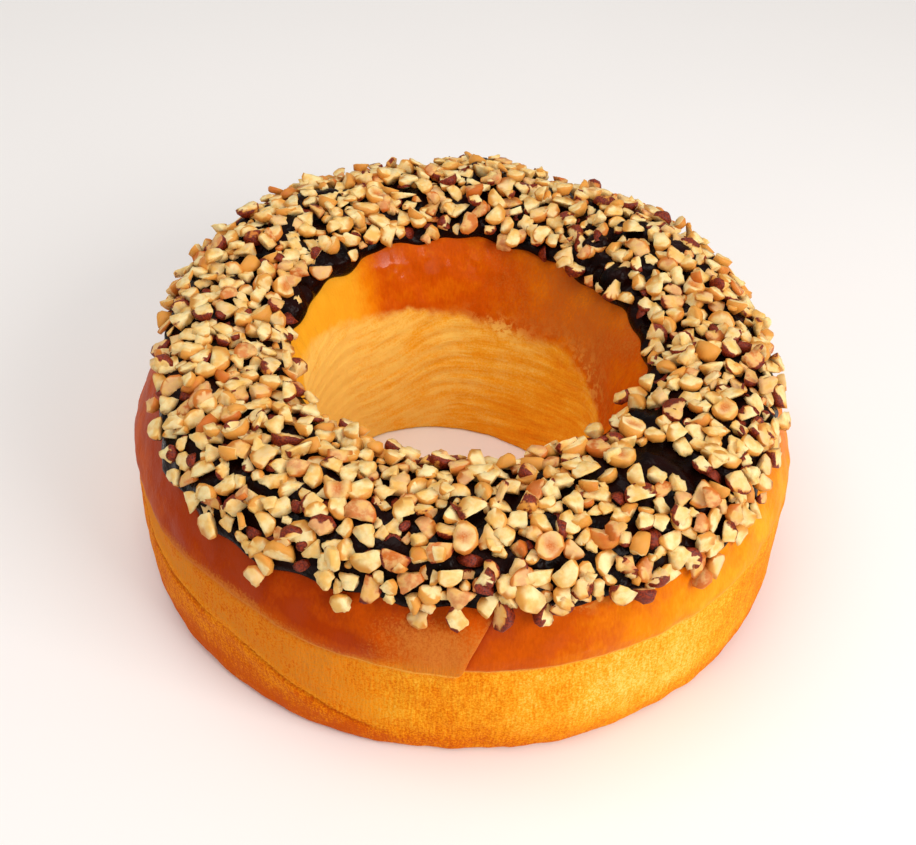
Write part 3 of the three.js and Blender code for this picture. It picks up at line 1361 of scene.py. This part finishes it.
@dataclass
class ChocolateGlaze:
    """The poured glaze over the crown, thin at its wandering edges.

    The outer line is points of degrees and share along the section. A ripple of an edge is its
    share, how often it goes round and its phase. A heap is where the glaze piled up: its degrees,
    width in degrees and extra thickness.
    """

    form: RingForm
    inner: float = 0.613
    outer_line: tuple[tuple[float, float], ...] = (
        (0, 0.372), (25, 0.33), (50, 0.312), (90, 0.308), (130, 0.315), (155, 0.334), (170, 0.356),
        (180, 0.388), (190, 0.394), (200, 0.386), (207, 0.37), (212, 0.338), (220, 0.342),
        (228, 0.336), (245, 0.34), (264, 0.344), (290, 0.338), (306, 0.328), (318, 0.326),
        (334, 0.352), (350, 0.37), (360, 0.372))
    outer_ripples: tuple[tuple[float, int, float], ...] = ((0.003, 13, 1.2), (-0.004, 29, 0.0))
    inner_ripples: tuple[tuple[float, int, float], ...] = (
        (0.007, 3, -0.6), (0.003, 11, 0.0), (0.003, 23, 2.0))
    drips: float = 0.005
    thickness: float = 2.4
    heaps: tuple[tuple[float, float, float], ...] = (
        (29, 13, 4.0), (47, 12, 3.6), (88, 9, 3.6), (142, 20, 3.4))
    unevenness: tuple[float, float] = (0.7, 1.7)
    sunk: float = 0.8
    around: int = 640
    across: int = 64

    def depth(self, angle: Array) -> Array:
        """Thickness of the glaze at an angle: it is thickest where it heaped up at the back."""
        return self.thickness + sum(rise * Side(middle, width).share(angle)
                                    for middle, width, rise in self.heaps)

    @staticmethod
    def _rippled(edge: Array | float, ripples: tuple[tuple[float, int, float], ...],
                 angle: Array) -> Array:
        """Adds ripples to an edge.

        Args:
            edge: The smooth edge, as shares along the section.
            ripples: Share, count and phase of each ripple.
            angle: Angles around the ring.

        Returns:
            The rippled edge.
        """
        for share, count, phase in ripples:
            edge = edge + share * np.sin(count * angle + phase)
        return edge

    def edges(self, angle: Array) -> tuple[Array, Array]:
        """Finds where the glaze ends, with its drips and ripples.

        Args:
            angle: Angles around the ring.

        Returns:
            Shares along the section of its outer and its inner edge.
        """
        drip = np.abs(np.sin(4.5 * angle + 0.8 + 1.2 * np.sin(2 * angle + 1))) ** 3
        places, shares = np.array(self.outer_line).T
        outer = np.interp(np.degrees(angle) % 360, places, shares)
        inner = self._rippled(self.inner, self.inner_ripples, angle) + self.drips * drip
        return self._rippled(outer, self.outer_ripples, angle), inner

    def build(self, effects: Effects) -> bpy.types.Object:
        """Makes the glaze.

        Args:
            effects: The shared effects.

        Returns:
            The glaze's object.
        """
        angle = np.linspace(0, 2 * pi, self.around, endpoint=False)[:, None]
        outer, inner = self.edges(angle)
        share = 0.5 - 0.5 * np.cos(np.linspace(0, pi, self.across))[None, :]
        along = outer + (inner - outer) * share
        angle = np.broadcast_to(angle, along.shape)
        place, out = self.form.point(angle, along), self.form.normal(angle, along)
        body = (1 - np.abs(2 * share - 1) ** 14) ** 0.5
        swell = 1 + 0.28 * Lumps(21).at(place, 11) + 0.12 * Lumps(22).at(place, 4)
        swell = np.clip(swell, *self.unevenness)
        top = place + out * (self.depth(angle) * body * swell + 0.15)[..., None]
        under = (place - out * self.sunk)[:, ::-1]
        points = np.concatenate([top, under], axis=1)
        piece = mesh_object("poured_glaze", points.reshape(-1, 3) * MM,
                            ring_faces(*points.shape[:2]))
        piece.data.materials.append(ChocolateFinish().material(effects))
        return piece


# ------------------------------------------------------------------------------ the nuts


class Cut(Enum):
    """How a piece of hazelnut was chopped."""

    HALF = "half"
    WEDGE = "wedge"
    CHUNK = "chunk"
    SLIVER = "sliver"
    CRUMB = "crumb"
    FLAKE = "flake"


@dataclass
class NutShape:
    """One chopped piece about its own middle: corners in millimetres and what the finish reads."""

    points: Array
    faces: Array
    cut: Array
    hollow: Array
    width: float


class Chopper:
    """Makes chopped pieces of hazelnut by cutting a whole nut with planes."""

    sharpness = 44.0
    flesh_radius = 6.2
    proportions = (1.06, 0.98, 0.97)
    crumb_share = (0.28, 0.48)
    flake_length = (3.0, 5.2)
    flake_width = (2.0, 3.6)
    flake_half = 0.3
    uneven_cut = 0.07
    dip_spread = 0.58
    dip_depth = (0.8, 1.4)
    kept = 0.085
    kept_of_small = 0.05

    def __init__(self, seed: int) -> None:
        """Prepares the directions that a piece's surface is measured along.

        Args:
            seed: Start of the random draws.
        """
        self.rng = np.random.default_rng(seed)
        mesh = bmesh.new()
        bmesh.ops.create_icosphere(mesh, subdivisions=4, radius=1.0)
        self.directions = np.array([vertex.co[:] for vertex in mesh.verts])
        self.faces = np.array([[vertex.index for vertex in face.verts] for face in mesh.faces])
        mesh.free()

    def _leaning(self, low: float, high: float, way: float | None = None) -> Array:
        """Draws a direction that leans off straight up.

        Args:
            low: Least lean in degrees.
            high: Most lean in degrees.
            way: Angle that it leans towards, or None for any.

        Returns:
            The direction.
        """
        lean = radians(self.rng.uniform(low, high))
        way = self.rng.uniform(0, 2 * pi) if way is None else way
        return np.array([sin(lean) * cos(way), sin(lean) * sin(way), cos(lean)])

    def _cuts(self, cut: Cut, radii: Array) -> list[tuple[Array, float]]:
        """The planes that chop a piece: each a direction and its distance from the middle.

        Args:
            cut: How the piece is chopped.
            radii: Half sizes of the whole nut.

        Returns:
            The planes.
        """
        draw = self.rng.uniform
        way = draw(0, 2 * pi)
        if cut is Cut.HALF:
            planes = [(self._leaning(0, 6), draw(1.2, 2.0))]
            if self.rng.random() < 0.8:
                planes.append((self._leaning(75, 105), draw(2.0, 4.2)))
            return planes
        if cut is Cut.WEDGE:
            planes = [(self._leaning(0, 8), draw(0.8, 1.5)),
                      (self._leaning(105, 140, way), draw(0.8, 1.6))]
            if self.rng.random() < 0.75:
                planes.append((self._leaning(70, 110, way + draw(1.2, 1.9)), draw(2.2, 4.0)))
            return planes
        if cut is Cut.CHUNK:
            sides = int(self.rng.integers(3, 5))
            planes = [(self._leaning(0, 14), draw(1.4, 2.6)),
                      (self._leaning(165, 180), draw(1.2, 2.4))]
            return planes + [(self._leaning(70, 112, way + side * 2 * pi / sides + draw(-0.4, 0.4)),
                              draw(2.2, 4.6)) for side in range(sides)]
        if cut is Cut.SLIVER:
            half = draw(0.8, 1.4)
            return [(self._leaning(0, 6), half), (self._leaning(152, 176), half),
                    (self._leaning(75, 105, way), draw(0.7, 2.0))]
        if cut is Cut.CRUMB:
            return [(self._leaning(45 * step, 45 * step + 50), draw(0.45, 0.8) * radii.min())
                    for step in range(4)]
        return []

    def _radii(self, cut: Cut) -> Array:
        """Draws the half sizes of the nut that a piece is chopped from.

        Args:
            cut: How it is chopped.

        Returns:
            Three half sizes in millimetres.
        """
        draw = self.rng.uniform
        radii = self.flesh_radius * np.array(self.proportions) * draw(0.9, 1.1, 3)
        if cut is Cut.CRUMB:
            radii *= draw(*self.crumb_share)
        elif cut is Cut.FLAKE:
            radii = np.array([draw(*self.flake_length), draw(*self.flake_width), self.flake_half])
        return radii

    def piece(self, cut: Cut) -> NutShape:
        """Chops one piece.

        Args:
            cut: How it is chopped.

        Returns:
            The piece.
        """
        radii = self._radii(cut)
        dents = Lumps(int(self.rng.integers(9999)), 12)
        ways = self.directions
        reaches = [1 / np.linalg.norm(ways / radii, axis=1)]
        for number, (normal, offset) in enumerate(self._cuts(cut, radii)):
            uneven = 1 + self.uneven_cut * dents.at(ways + 3.0 * number, 0.5)
            reaches.append(offset * uneven / np.maximum(ways @ normal, 1e-3))
        terms = np.array(reaches) ** -self.sharpness
        reach = terms.sum(axis=0) ** (-1 / self.sharpness)
        reach = reach * (1 + 0.02 * dents.at(ways * reach[:, None], 2.4))
        points = ways * reach[:, None]
        share = 1 - terms[0] / terms.sum(axis=0)
        dip = np.zeros(len(points))
        if cut is Cut.HALF:
            spread = np.linalg.norm(points[:, :2] / (radii[:2] * (0.7, 1.25)), axis=1)
            dip = np.exp(-((spread / self.dip_spread) ** 4)) * (ways[:, 2] > 0.1)
            points[:, 2] -= self.rng.uniform(*self.dip_depth) * dip
        if cut is Cut.FLAKE:
            points[:, 2] -= 0.09 * points[:, 0] ** 2 - 0.05 * points[:, 1] ** 2
        points = points - (points.max(axis=0) + points.min(axis=0)) / 2
        kept = self.kept_of_small if cut in (Cut.CRUMB, Cut.FLAKE) else self.kept
        return self._thinned(points, share, dip, kept)

    def _thinned(self, points: Array, share: Array, dip: Array, kept: float) -> NutShape:
        """Drops the triangles that a piece's flat sides don't need.

        Args:
            points: Corners of the piece.
            share: Where it was cut, from 0 to 1.
            dip: Where its hollow is, from 0 to 1.
            kept: Share of the triangles to keep.

        Returns:
            The piece.
        """
        draft = mesh_object("draft_nut", points, self.faces, {"cut": share, "hollow": dip})
        draft.modifiers.new("thinned", "DECIMATE").ratio = kept
        final = draft.evaluated_get(bpy.context.evaluated_depsgraph_get()).to_mesh()
        corners = np.array([vertex.co[:] for vertex in final.vertices])
        faces = np.array([face.vertices[:] for face in final.polygons])
        values = {}
        for key in ("cut", "hollow"):
            values[key] = np.array([item.value for item in final.attributes[key].data])
        bpy.data.meshes.remove(draft.data)
        width = float(np.ptp(corners, axis=0)[:2].mean())
        return NutShape(corners, faces, values["cut"], values["hollow"], width)


@dataclass
class LaidNut:
    """One nut where it lies on the crown, with what the finish reads of it."""

    shape: NutShape
    rest: Array
    normal: Array
    turn: Array
    scale: float
    tone: float
    skin: float

    def corners(self) -> Array:
        """The nut's corners, the lowest of them level with its resting place.

        Returns:
            The corners in millimetres.
        """
        points = (self.shape.points * self.scale) @ self.turn.T
        drop = float((points @ self.normal).min())
        return points + self.rest - self.normal * drop


class Bed:
    """The places that nuts already take, with half the width of each in millimetres."""

    room = 2000

    def __init__(self) -> None:
        """Starts with nothing laid."""
        self.spots = np.zeros((self.room, 3))
        self.reaches = np.zeros(self.room)
        self.count = 0

    def add(self, spot: Array, half: float) -> None:
        """Takes a place."""
        self.spots[self.count], self.reaches[self.count] = spot, half
        self.count += 1

    def clear(self, spot: Array, half: float, closeness: float) -> bool:
        """Whether a nut fits beside those already laid.

        Args:
            spot: Its place.
            half: Half its width.
            closeness: Least gap between two nuts' middles, as a share of their half widths.

        Returns:
            True if it fits.
        """
        gaps = np.linalg.norm(self.spots[:self.count] - spot, axis=1)
        return bool((gaps >= closeness * (self.reaches[:self.count] + half)).all())


@dataclass(frozen=True)
class BarePatch:
    """A place on the crown that nuts missed, with how far it reaches in millimetres."""

    degrees: float
    along: float
    reach: float


@dataclass(frozen=True)
class Sowing:
    """One pass of scattering nuts: which cuts, how many, how large, how close and how high.

    The margin is kept clear at the glaze's outer edge, as a share along the section.
    """

    cuts: tuple[Cut, ...]
    count: int
    scale: tuple[float, float]
    closeness: float
    lift: float = 0.0
    margin: float = 0.009


@dataclass
class NutCrust:
    """The scattered nuts, gathered into one object for each packed cluster.

    The halves, the strays on the bare crust and the skinned shells lie at chosen places, each its
    degrees and share along the section.
    """

    form: RingForm
    glaze: ChocolateGlaze
    seed: int = 41
    shapes_of_each: int = 14
    tries: int = 30
    widest: float = 155.0
    inner_margin: float = 0.007
    missed_share: float = 0.93
    half_scale: float = 0.86
    half_room: float = 0.43
    stray_scale: float = 0.8
    shell_lift: float = 0.4
    sunk: float = 0.5
    flat_lean: float = 17.0
    loose_lean: float = 30.0
    upended_halves: float = 0.12
    upended_others: float = 0.4
    skinned_share: float = 0.24
    skin_left: tuple[float, float] = (0.5, 0.9)
    tones: tuple[float, float] = (1.6, 2.0)
    sowings: tuple[Sowing, ...] = (
        Sowing((Cut.WEDGE, Cut.CHUNK, Cut.WEDGE, Cut.SLIVER, Cut.WEDGE), 165, (0.84, 1.04), 0.74),
        Sowing((Cut.CHUNK, Cut.WEDGE, Cut.SLIVER, Cut.WEDGE), 640, (0.7, 0.94), 0.68),
        Sowing((Cut.CHUNK, Cut.SLIVER, Cut.WEDGE), 460, (0.44, 0.68), 0.66),
        Sowing((Cut.CRUMB, Cut.FLAKE, Cut.FLAKE), 300, (0.7, 1.1), 0.66),
        Sowing((Cut.WEDGE, Cut.CHUNK, Cut.SLIVER, Cut.FLAKE), 230, (0.6, 0.86), 1.25, 2.7, 0.045),
    )
    bare: tuple[BarePatch, ...] = (
        BarePatch(306, 0.475, 9), BarePatch(314, 0.49, 11), BarePatch(319, 0.45, 9),
        BarePatch(324, 0.56, 9), BarePatch(334, 0.56, 8), BarePatch(345, 0.6, 8),
        BarePatch(2, 0.612, 9), BarePatch(11, 0.61, 9), BarePatch(20, 0.61, 9),
        BarePatch(29, 0.608, 9), BarePatch(40, 0.6, 8),
        BarePatch(146, 0.61, 9), BarePatch(160, 0.61, 9), BarePatch(174, 0.605, 9),
        BarePatch(116, 0.615, 6), BarePatch(238, 0.527, 6), BarePatch(233, 0.35, 6),
        BarePatch(246, 0.36, 6), BarePatch(262, 0.36, 5), BarePatch(212.5, 0.35, 9.5),
    )
    halves: tuple[tuple[float, float], ...] = (
        (307.8, 0.518), (297.1, 0.6), (317.5, 0.554), (285.4, 0.423), (271.6, 0.437),
        (168.1, 0.57), (221.1, 0.468), (15.9, 0.499), (335.2, 0.466), (247.1, 0.472),
        (60.0, 0.45), (118.0, 0.52))
    strays: tuple[tuple[float, float], ...] = (
        (238.6, 0.322), (253.1, 0.329), (264.8, 0.325), (311.0, 0.31), (313.6, 0.315),
        (320.0, 0.333))
    shells: tuple[tuple[float, float], ...] = (
        (270.5, 0.335), (277.5, 0.337), (284.0, 0.334), (286.5, 0.345), (299.5, 0.336),
        (302.5, 0.345), (309.0, 0.35), (196.0, 0.42), (222.0, 0.47), (243.0, 0.4), (158.0, 0.43),
        (30.0, 0.45), (112.0, 0.42), (75.0, 0.4))

    def __post_init__(self) -> None:
        """Starts the random draws."""
        self.rng = np.random.default_rng(self.seed)

    def build(self, effects: Effects) -> list[tuple[str, bpy.types.Object]]:
        """Makes the nuts.

        Args:
            effects: The shared effects.

        Returns:
            Each packed cluster's name with the object that stands for it.
        """
        chopper = Chopper(self.seed)
        library = {cut: [chopper.piece(cut) for _ in range(self.shapes_of_each)] for cut in Cut}
        names = sorted(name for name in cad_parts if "_nuts_" in name)
        middles = np.array([[(a + b) / 2 for a, b in zip(*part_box(name))] for name in names])
        gathered: dict[str, list[tuple[Array, LaidNut]]] = {name: [] for name in names}
        for nut in self._sow(library):
            points = nut.corners() * MM
            nearest = names[int(np.argmin(((middles - points.mean(axis=0)) ** 2).sum(axis=1)))]
            gathered[nearest].append((points, nut))
        material = HazelnutFinish().material(effects)
        return [(name, self._object(name, nuts, material)) for name, nuts in gathered.items()]

    @staticmethod
    def _object(name: str, nuts: list[tuple[Array, LaidNut]],
                material: bpy.types.Material) -> bpy.types.Object:
        """Joins one cluster's nuts into an object of separate solids.

        Args:
            name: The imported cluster's name.
            nuts: Corners in metres of each nut, with the nut.
            material: The nuts' finish.

        Returns:
            The object.
        """
        points, faces, start = [], [], 0
        fields: dict[str, list[Array]] = {"cut": [], "hollow": [], "tone": [], "skin": []}
        for corners, nut in nuts:
            points.append(corners)
            faces.append(nut.shape.faces + start)
            start += len(corners)
            fields["cut"].append(nut.shape.cut)
            fields["hollow"].append(nut.shape.hollow)
            fields["tone"].append(np.full(len(corners), nut.tone))
            fields["skin"].append(nut.skin * (1 - nut.shape.cut))
        joined = {key: np.concatenate(values) for key, values in fields.items()}
        piece = mesh_object(f"chopped_{name}", np.concatenate(points), np.concatenate(faces), joined)
        piece.data.materials.append(material)
        return piece

    def _sow(self, library: dict[Cut, list[NutShape]]) -> Iterator[LaidNut]:
        """Lays the halves, scatters the rest from the largest down, and adds the chosen ones.

        Args:
            library: The chopped shapes of each cut.

        Yields:
            Each nut where it lies.
        """
        ground = Bed()
        for number, (degrees, along) in enumerate(self.halves):
            shape = library[Cut.HALF][number % self.shapes_of_each]
            ground.add(self.form.point(radians(degrees), along), shape.width * self.half_room)
            yield self._laid(shape, Cut.HALF, self.half_scale, radians(degrees), along, 0.0)
        for sowing in self.sowings:
            bed = Bed() if sowing.lift else ground
            for _ in range(sowing.count):
                nut = self._dropped(sowing, library, bed)
                if nut:
                    yield nut
        wedges = library[Cut.WEDGE]
        for degrees, along in self.strays:
            shape = wedges[self.rng.integers(self.shapes_of_each)]
            yield self._laid(shape, Cut.WEDGE, self.stray_scale, radians(degrees), along, None)
        for degrees, along in self.shells:
            shape = wedges[self.rng.integers(self.shapes_of_each)]
            nut = self._laid(shape, Cut.WEDGE, self.half_scale, radians(degrees), along,
                             self.shell_lift)
            yield replace(nut, skin=1.0)

    def _dropped(self, sowing: Sowing, library: dict[Cut, list[NutShape]],
                 bed: Bed) -> LaidNut | None:
        """Drops one nut where it fits.

        Args:
            sowing: The pass that it belongs to.
            library: The chopped shapes of each cut.
            bed: The places taken so far.

        Returns:
            The nut where it lies, or None if no place was found.
        """
        cut = sowing.cuts[self.rng.integers(len(sowing.cuts))]
        shape = library[cut][self.rng.integers(self.shapes_of_each)]
        scale = self.rng.uniform(*sowing.scale)
        half = shape.width * scale / 2
        for _ in range(self.tries):
            angle = self.rng.uniform(0, 2 * pi)
            outer, inner = self.glaze.edges(np.array(angle))
            along = self.rng.uniform(float(outer) + sowing.margin, float(inner) - self.inner_margin)
            spot = self.form.point(angle, along)
            reach = float(np.hypot(*spot[:2]))
            if self.rng.random() > reach / self.widest or self._missed(angle, along, spot):
                continue
            if bed.clear(spot, half, sowing.closeness):
                bed.add(spot, half)
                return self._laid(shape, cut, scale, angle, along, sowing.lift)
        return None

    def _missed(self, angle: float, along: float, spot: Array) -> bool:
        """Whether a nut misses a spot because it lies in a bare patch.

        Args:
            angle: Angle of the spot around the ring.
            along: Share of the spot along the section.
            spot: Its place.

        Returns:
            True if it is left bare.
        """
        reach = np.hypot(*spot[:2])
        for patch in self.bare:
            turn = abs(float(turn_between(np.array(angle), radians(patch.degrees))))
            off = np.hypot(turn * reach, (along - patch.along) * self.form.section.length)
            if off < patch.reach and self.rng.random() < self.missed_share:
                return True
        return False

    def _laid(self, shape: NutShape, cut: Cut, scale: float, angle: float, along: float,
              lift: float | None) -> LaidNut:
        """Turns a nut to lie on the crown and draws its tone.

        Args:
            shape: The chopped piece.
            cut: How it was chopped.
            scale: Its size as a share of the shape's.
            angle: Angle of its place around the ring.
            along: Share of its place along the section.
            lift: Millimetres that it lies above the glaze, or None if it fell on the crust.

        Returns:
            The nut where it lies.
        """
        normal = self.form.normal(np.array(angle), np.array(along))
        lay = Vector(normal).to_track_quat("Z", "Y").to_matrix()
        spin = Matrix.Rotation(self.rng.uniform(0, 2 * pi), 3, "Z")
        lean = self.loose_lean if lift else self.flat_lean
        tip = Matrix.Rotation(radians(self.rng.normal(0, lean)), 3, "X")
        upended = self.upended_halves if cut is Cut.HALF else self.upended_others
        flip = Matrix.Rotation(pi if self.rng.random() < upended else 0.0, 3, "Y")
        turn = np.array(lay @ spin @ tip @ flip)
        rise = 0.0 if lift is None else float(self.glaze.depth(angle)) - self.sunk + lift
        tone = float(self.rng.beta(*self.tones))
        skin = 0.0
        skinned = cut is not Cut.HALF and self.rng.random() < self.skinned_share
        if cut is Cut.FLAKE:
            skin = 1.0
        elif skinned:
            skin = float(self.rng.uniform(*self.skin_left))
        rest = self.form.point(angle, along) + normal * rise
        return LaidNut(shape, rest, normal, turn, scale, tone, skin)


# ------------------------------------------------------------------------------ the studio


@dataclass(frozen=True)
class SoftLight:
    """A square light that faces the loaf, with lengths in metres and its power in watts."""

    name: str
    way: tuple[float, float, float]
    distance: float
    side: float
    power: float
    tint: tuple[float, float, float]

    def hang(self) -> None:
        """Adds the light to the scene."""
        data = bpy.data.lights.new(self.name, "AREA")
        data.size = self.side
        data.energy = self.power
        data.color = self.tint
        light = bpy.data.objects.new(self.name, data)
        light.location = Vector(self.way).normalized() * self.distance
        light.rotation_euler = (-light.location).to_track_quat("-Z", "Y").to_euler()
        bpy.context.scene.collection.objects.link(light)


@dataclass
class Studio:
    """A pale floor, soft lights from the right, and the camera, in metres."""

    distance: float = 0.600
    elevation: float = radians(47.15)
    roll: float = radians(2.5)
    lens: float = 47.0
    sensor: float = 36.0
    aim: tuple[float, float, float] = (-0.0014, 0.0, 0.0473)
    lights: tuple[SoftLight, ...] = (
        SoftLight("key_light", (0.68, -0.5, 0.52), 1.5, 0.8, 13.0, (1.0, 0.975, 0.94)),
        SoftLight("top_light", (-0.2, -0.05, 0.97), 1.6, 1.1, 9.0, (1.0, 0.99, 0.98)))
    room_tint: Colour = (1.0, 0.98, 0.96, 1.0)
    room_light: float = 0.53
    floor_half: float = 9.0
    floor_drop: float = 0.0004
    floor_tints: tuple[Colour, Colour] = (shade(245, 242, 240), shade(250, 247, 245))

    def build(self, shift: Array) -> None:
        """Sets the floor, the lights and the camera.

        Args:
            shift: Where the ring's own axis stands in the row frame, in millimetres.
        """
        self._floor()
        self._world()
        for light in self.lights:
            light.hang()
        self._camera(Vector((shift[0] * MM, shift[1] * MM, 0.0)))
        bpy.context.scene.view_settings.view_transform = "Standard"

    def _floor(self) -> None:
        """Lays a wide pale floor."""
        half = self.floor_half
        corners = np.array([[-half, -half, 0], [half, -half, 0], [half, half, 0], [-half, half, 0]])
        floor = mesh_object("studio_floor", corners, np.array([[0, 1, 2, 3]]))
        floor.location.z = -self.floor_drop
        material, graph, shader = blank_material("pale_floor")
        colour = graph.mix(graph.noise(graph.place(), 3.0), *self.floor_tints)
        set_shader(graph, shader, {"Base Color": colour, "Roughness": 0.6})
        floor.data.materials.append(material)
        floor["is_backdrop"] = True

    def _world(self) -> None:
        """Fills the room with soft white light."""
        world = bpy.data.worlds.new("soft_room")
        bpy.context.scene.world = world
        world.use_nodes = True
        background = world.node_tree.nodes["Background"]
        background.inputs["Color"].default_value = self.room_tint
        background.inputs["Strength"].default_value = self.room_light

    def _camera(self, axis: Vector) -> None:
        """Stands the camera in front of the ring, looking down on it.

        Args:
            axis: Foot of the ring's own axis.
        """
        data = bpy.data.cameras.new("camera")
        data.lens = self.lens
        data.sensor_width = self.sensor
        camera = bpy.data.objects.new("camera", data)
        height = self.distance * sin(self.elevation)
        place = Vector((0.0, -self.distance * cos(self.elevation), height))
        look = (Vector(self.aim) - place).to_track_quat("-Z", "Y").to_matrix()
        camera.rotation_euler = (look @ Matrix.Rotation(self.roll, 3, "Z")).to_euler()
        camera.location = place + axis
        bpy.context.scene.collection.objects.link(camera)
        bpy.context.scene.camera = camera


# ------------------------------------------------------------------------------ assembly


def settle(piece: bpy.types.Object, slot: str, *nodes: str) -> None:
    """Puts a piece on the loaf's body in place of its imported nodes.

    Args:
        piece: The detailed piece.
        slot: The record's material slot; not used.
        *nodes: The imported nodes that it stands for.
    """
    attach(piece, "root")
    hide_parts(*nodes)
    log.info("%s: %d faces, for %s", piece.name, len(piece.data.polygons), ", ".join(nodes))


def main() -> None:
    """Builds the loaf, its glaze and its nuts, then the studio."""
    logging.basicConfig(level=logging.INFO, format="%(message)s")
    effects = Effects()
    form = RingForm()
    glaze = ChocolateGlaze(form)
    settle(LoafRing(form).build(effects), "crust", "loaf_ring")
    settle(glaze.build(effects), "chocolate", "chocolate_glaze")
    for name, piece in NutCrust(form, glaze).build(effects):
        settle(piece, "hazelnut", name)
    Studio().build(form.shift)
    boxes = {"cad": CAD_BOX, "visual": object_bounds()}
    ({key: [list(map(float, corner)) for corner in box]
               for key, box in boxes.items()})


if __name__ == "__main__":
    main()
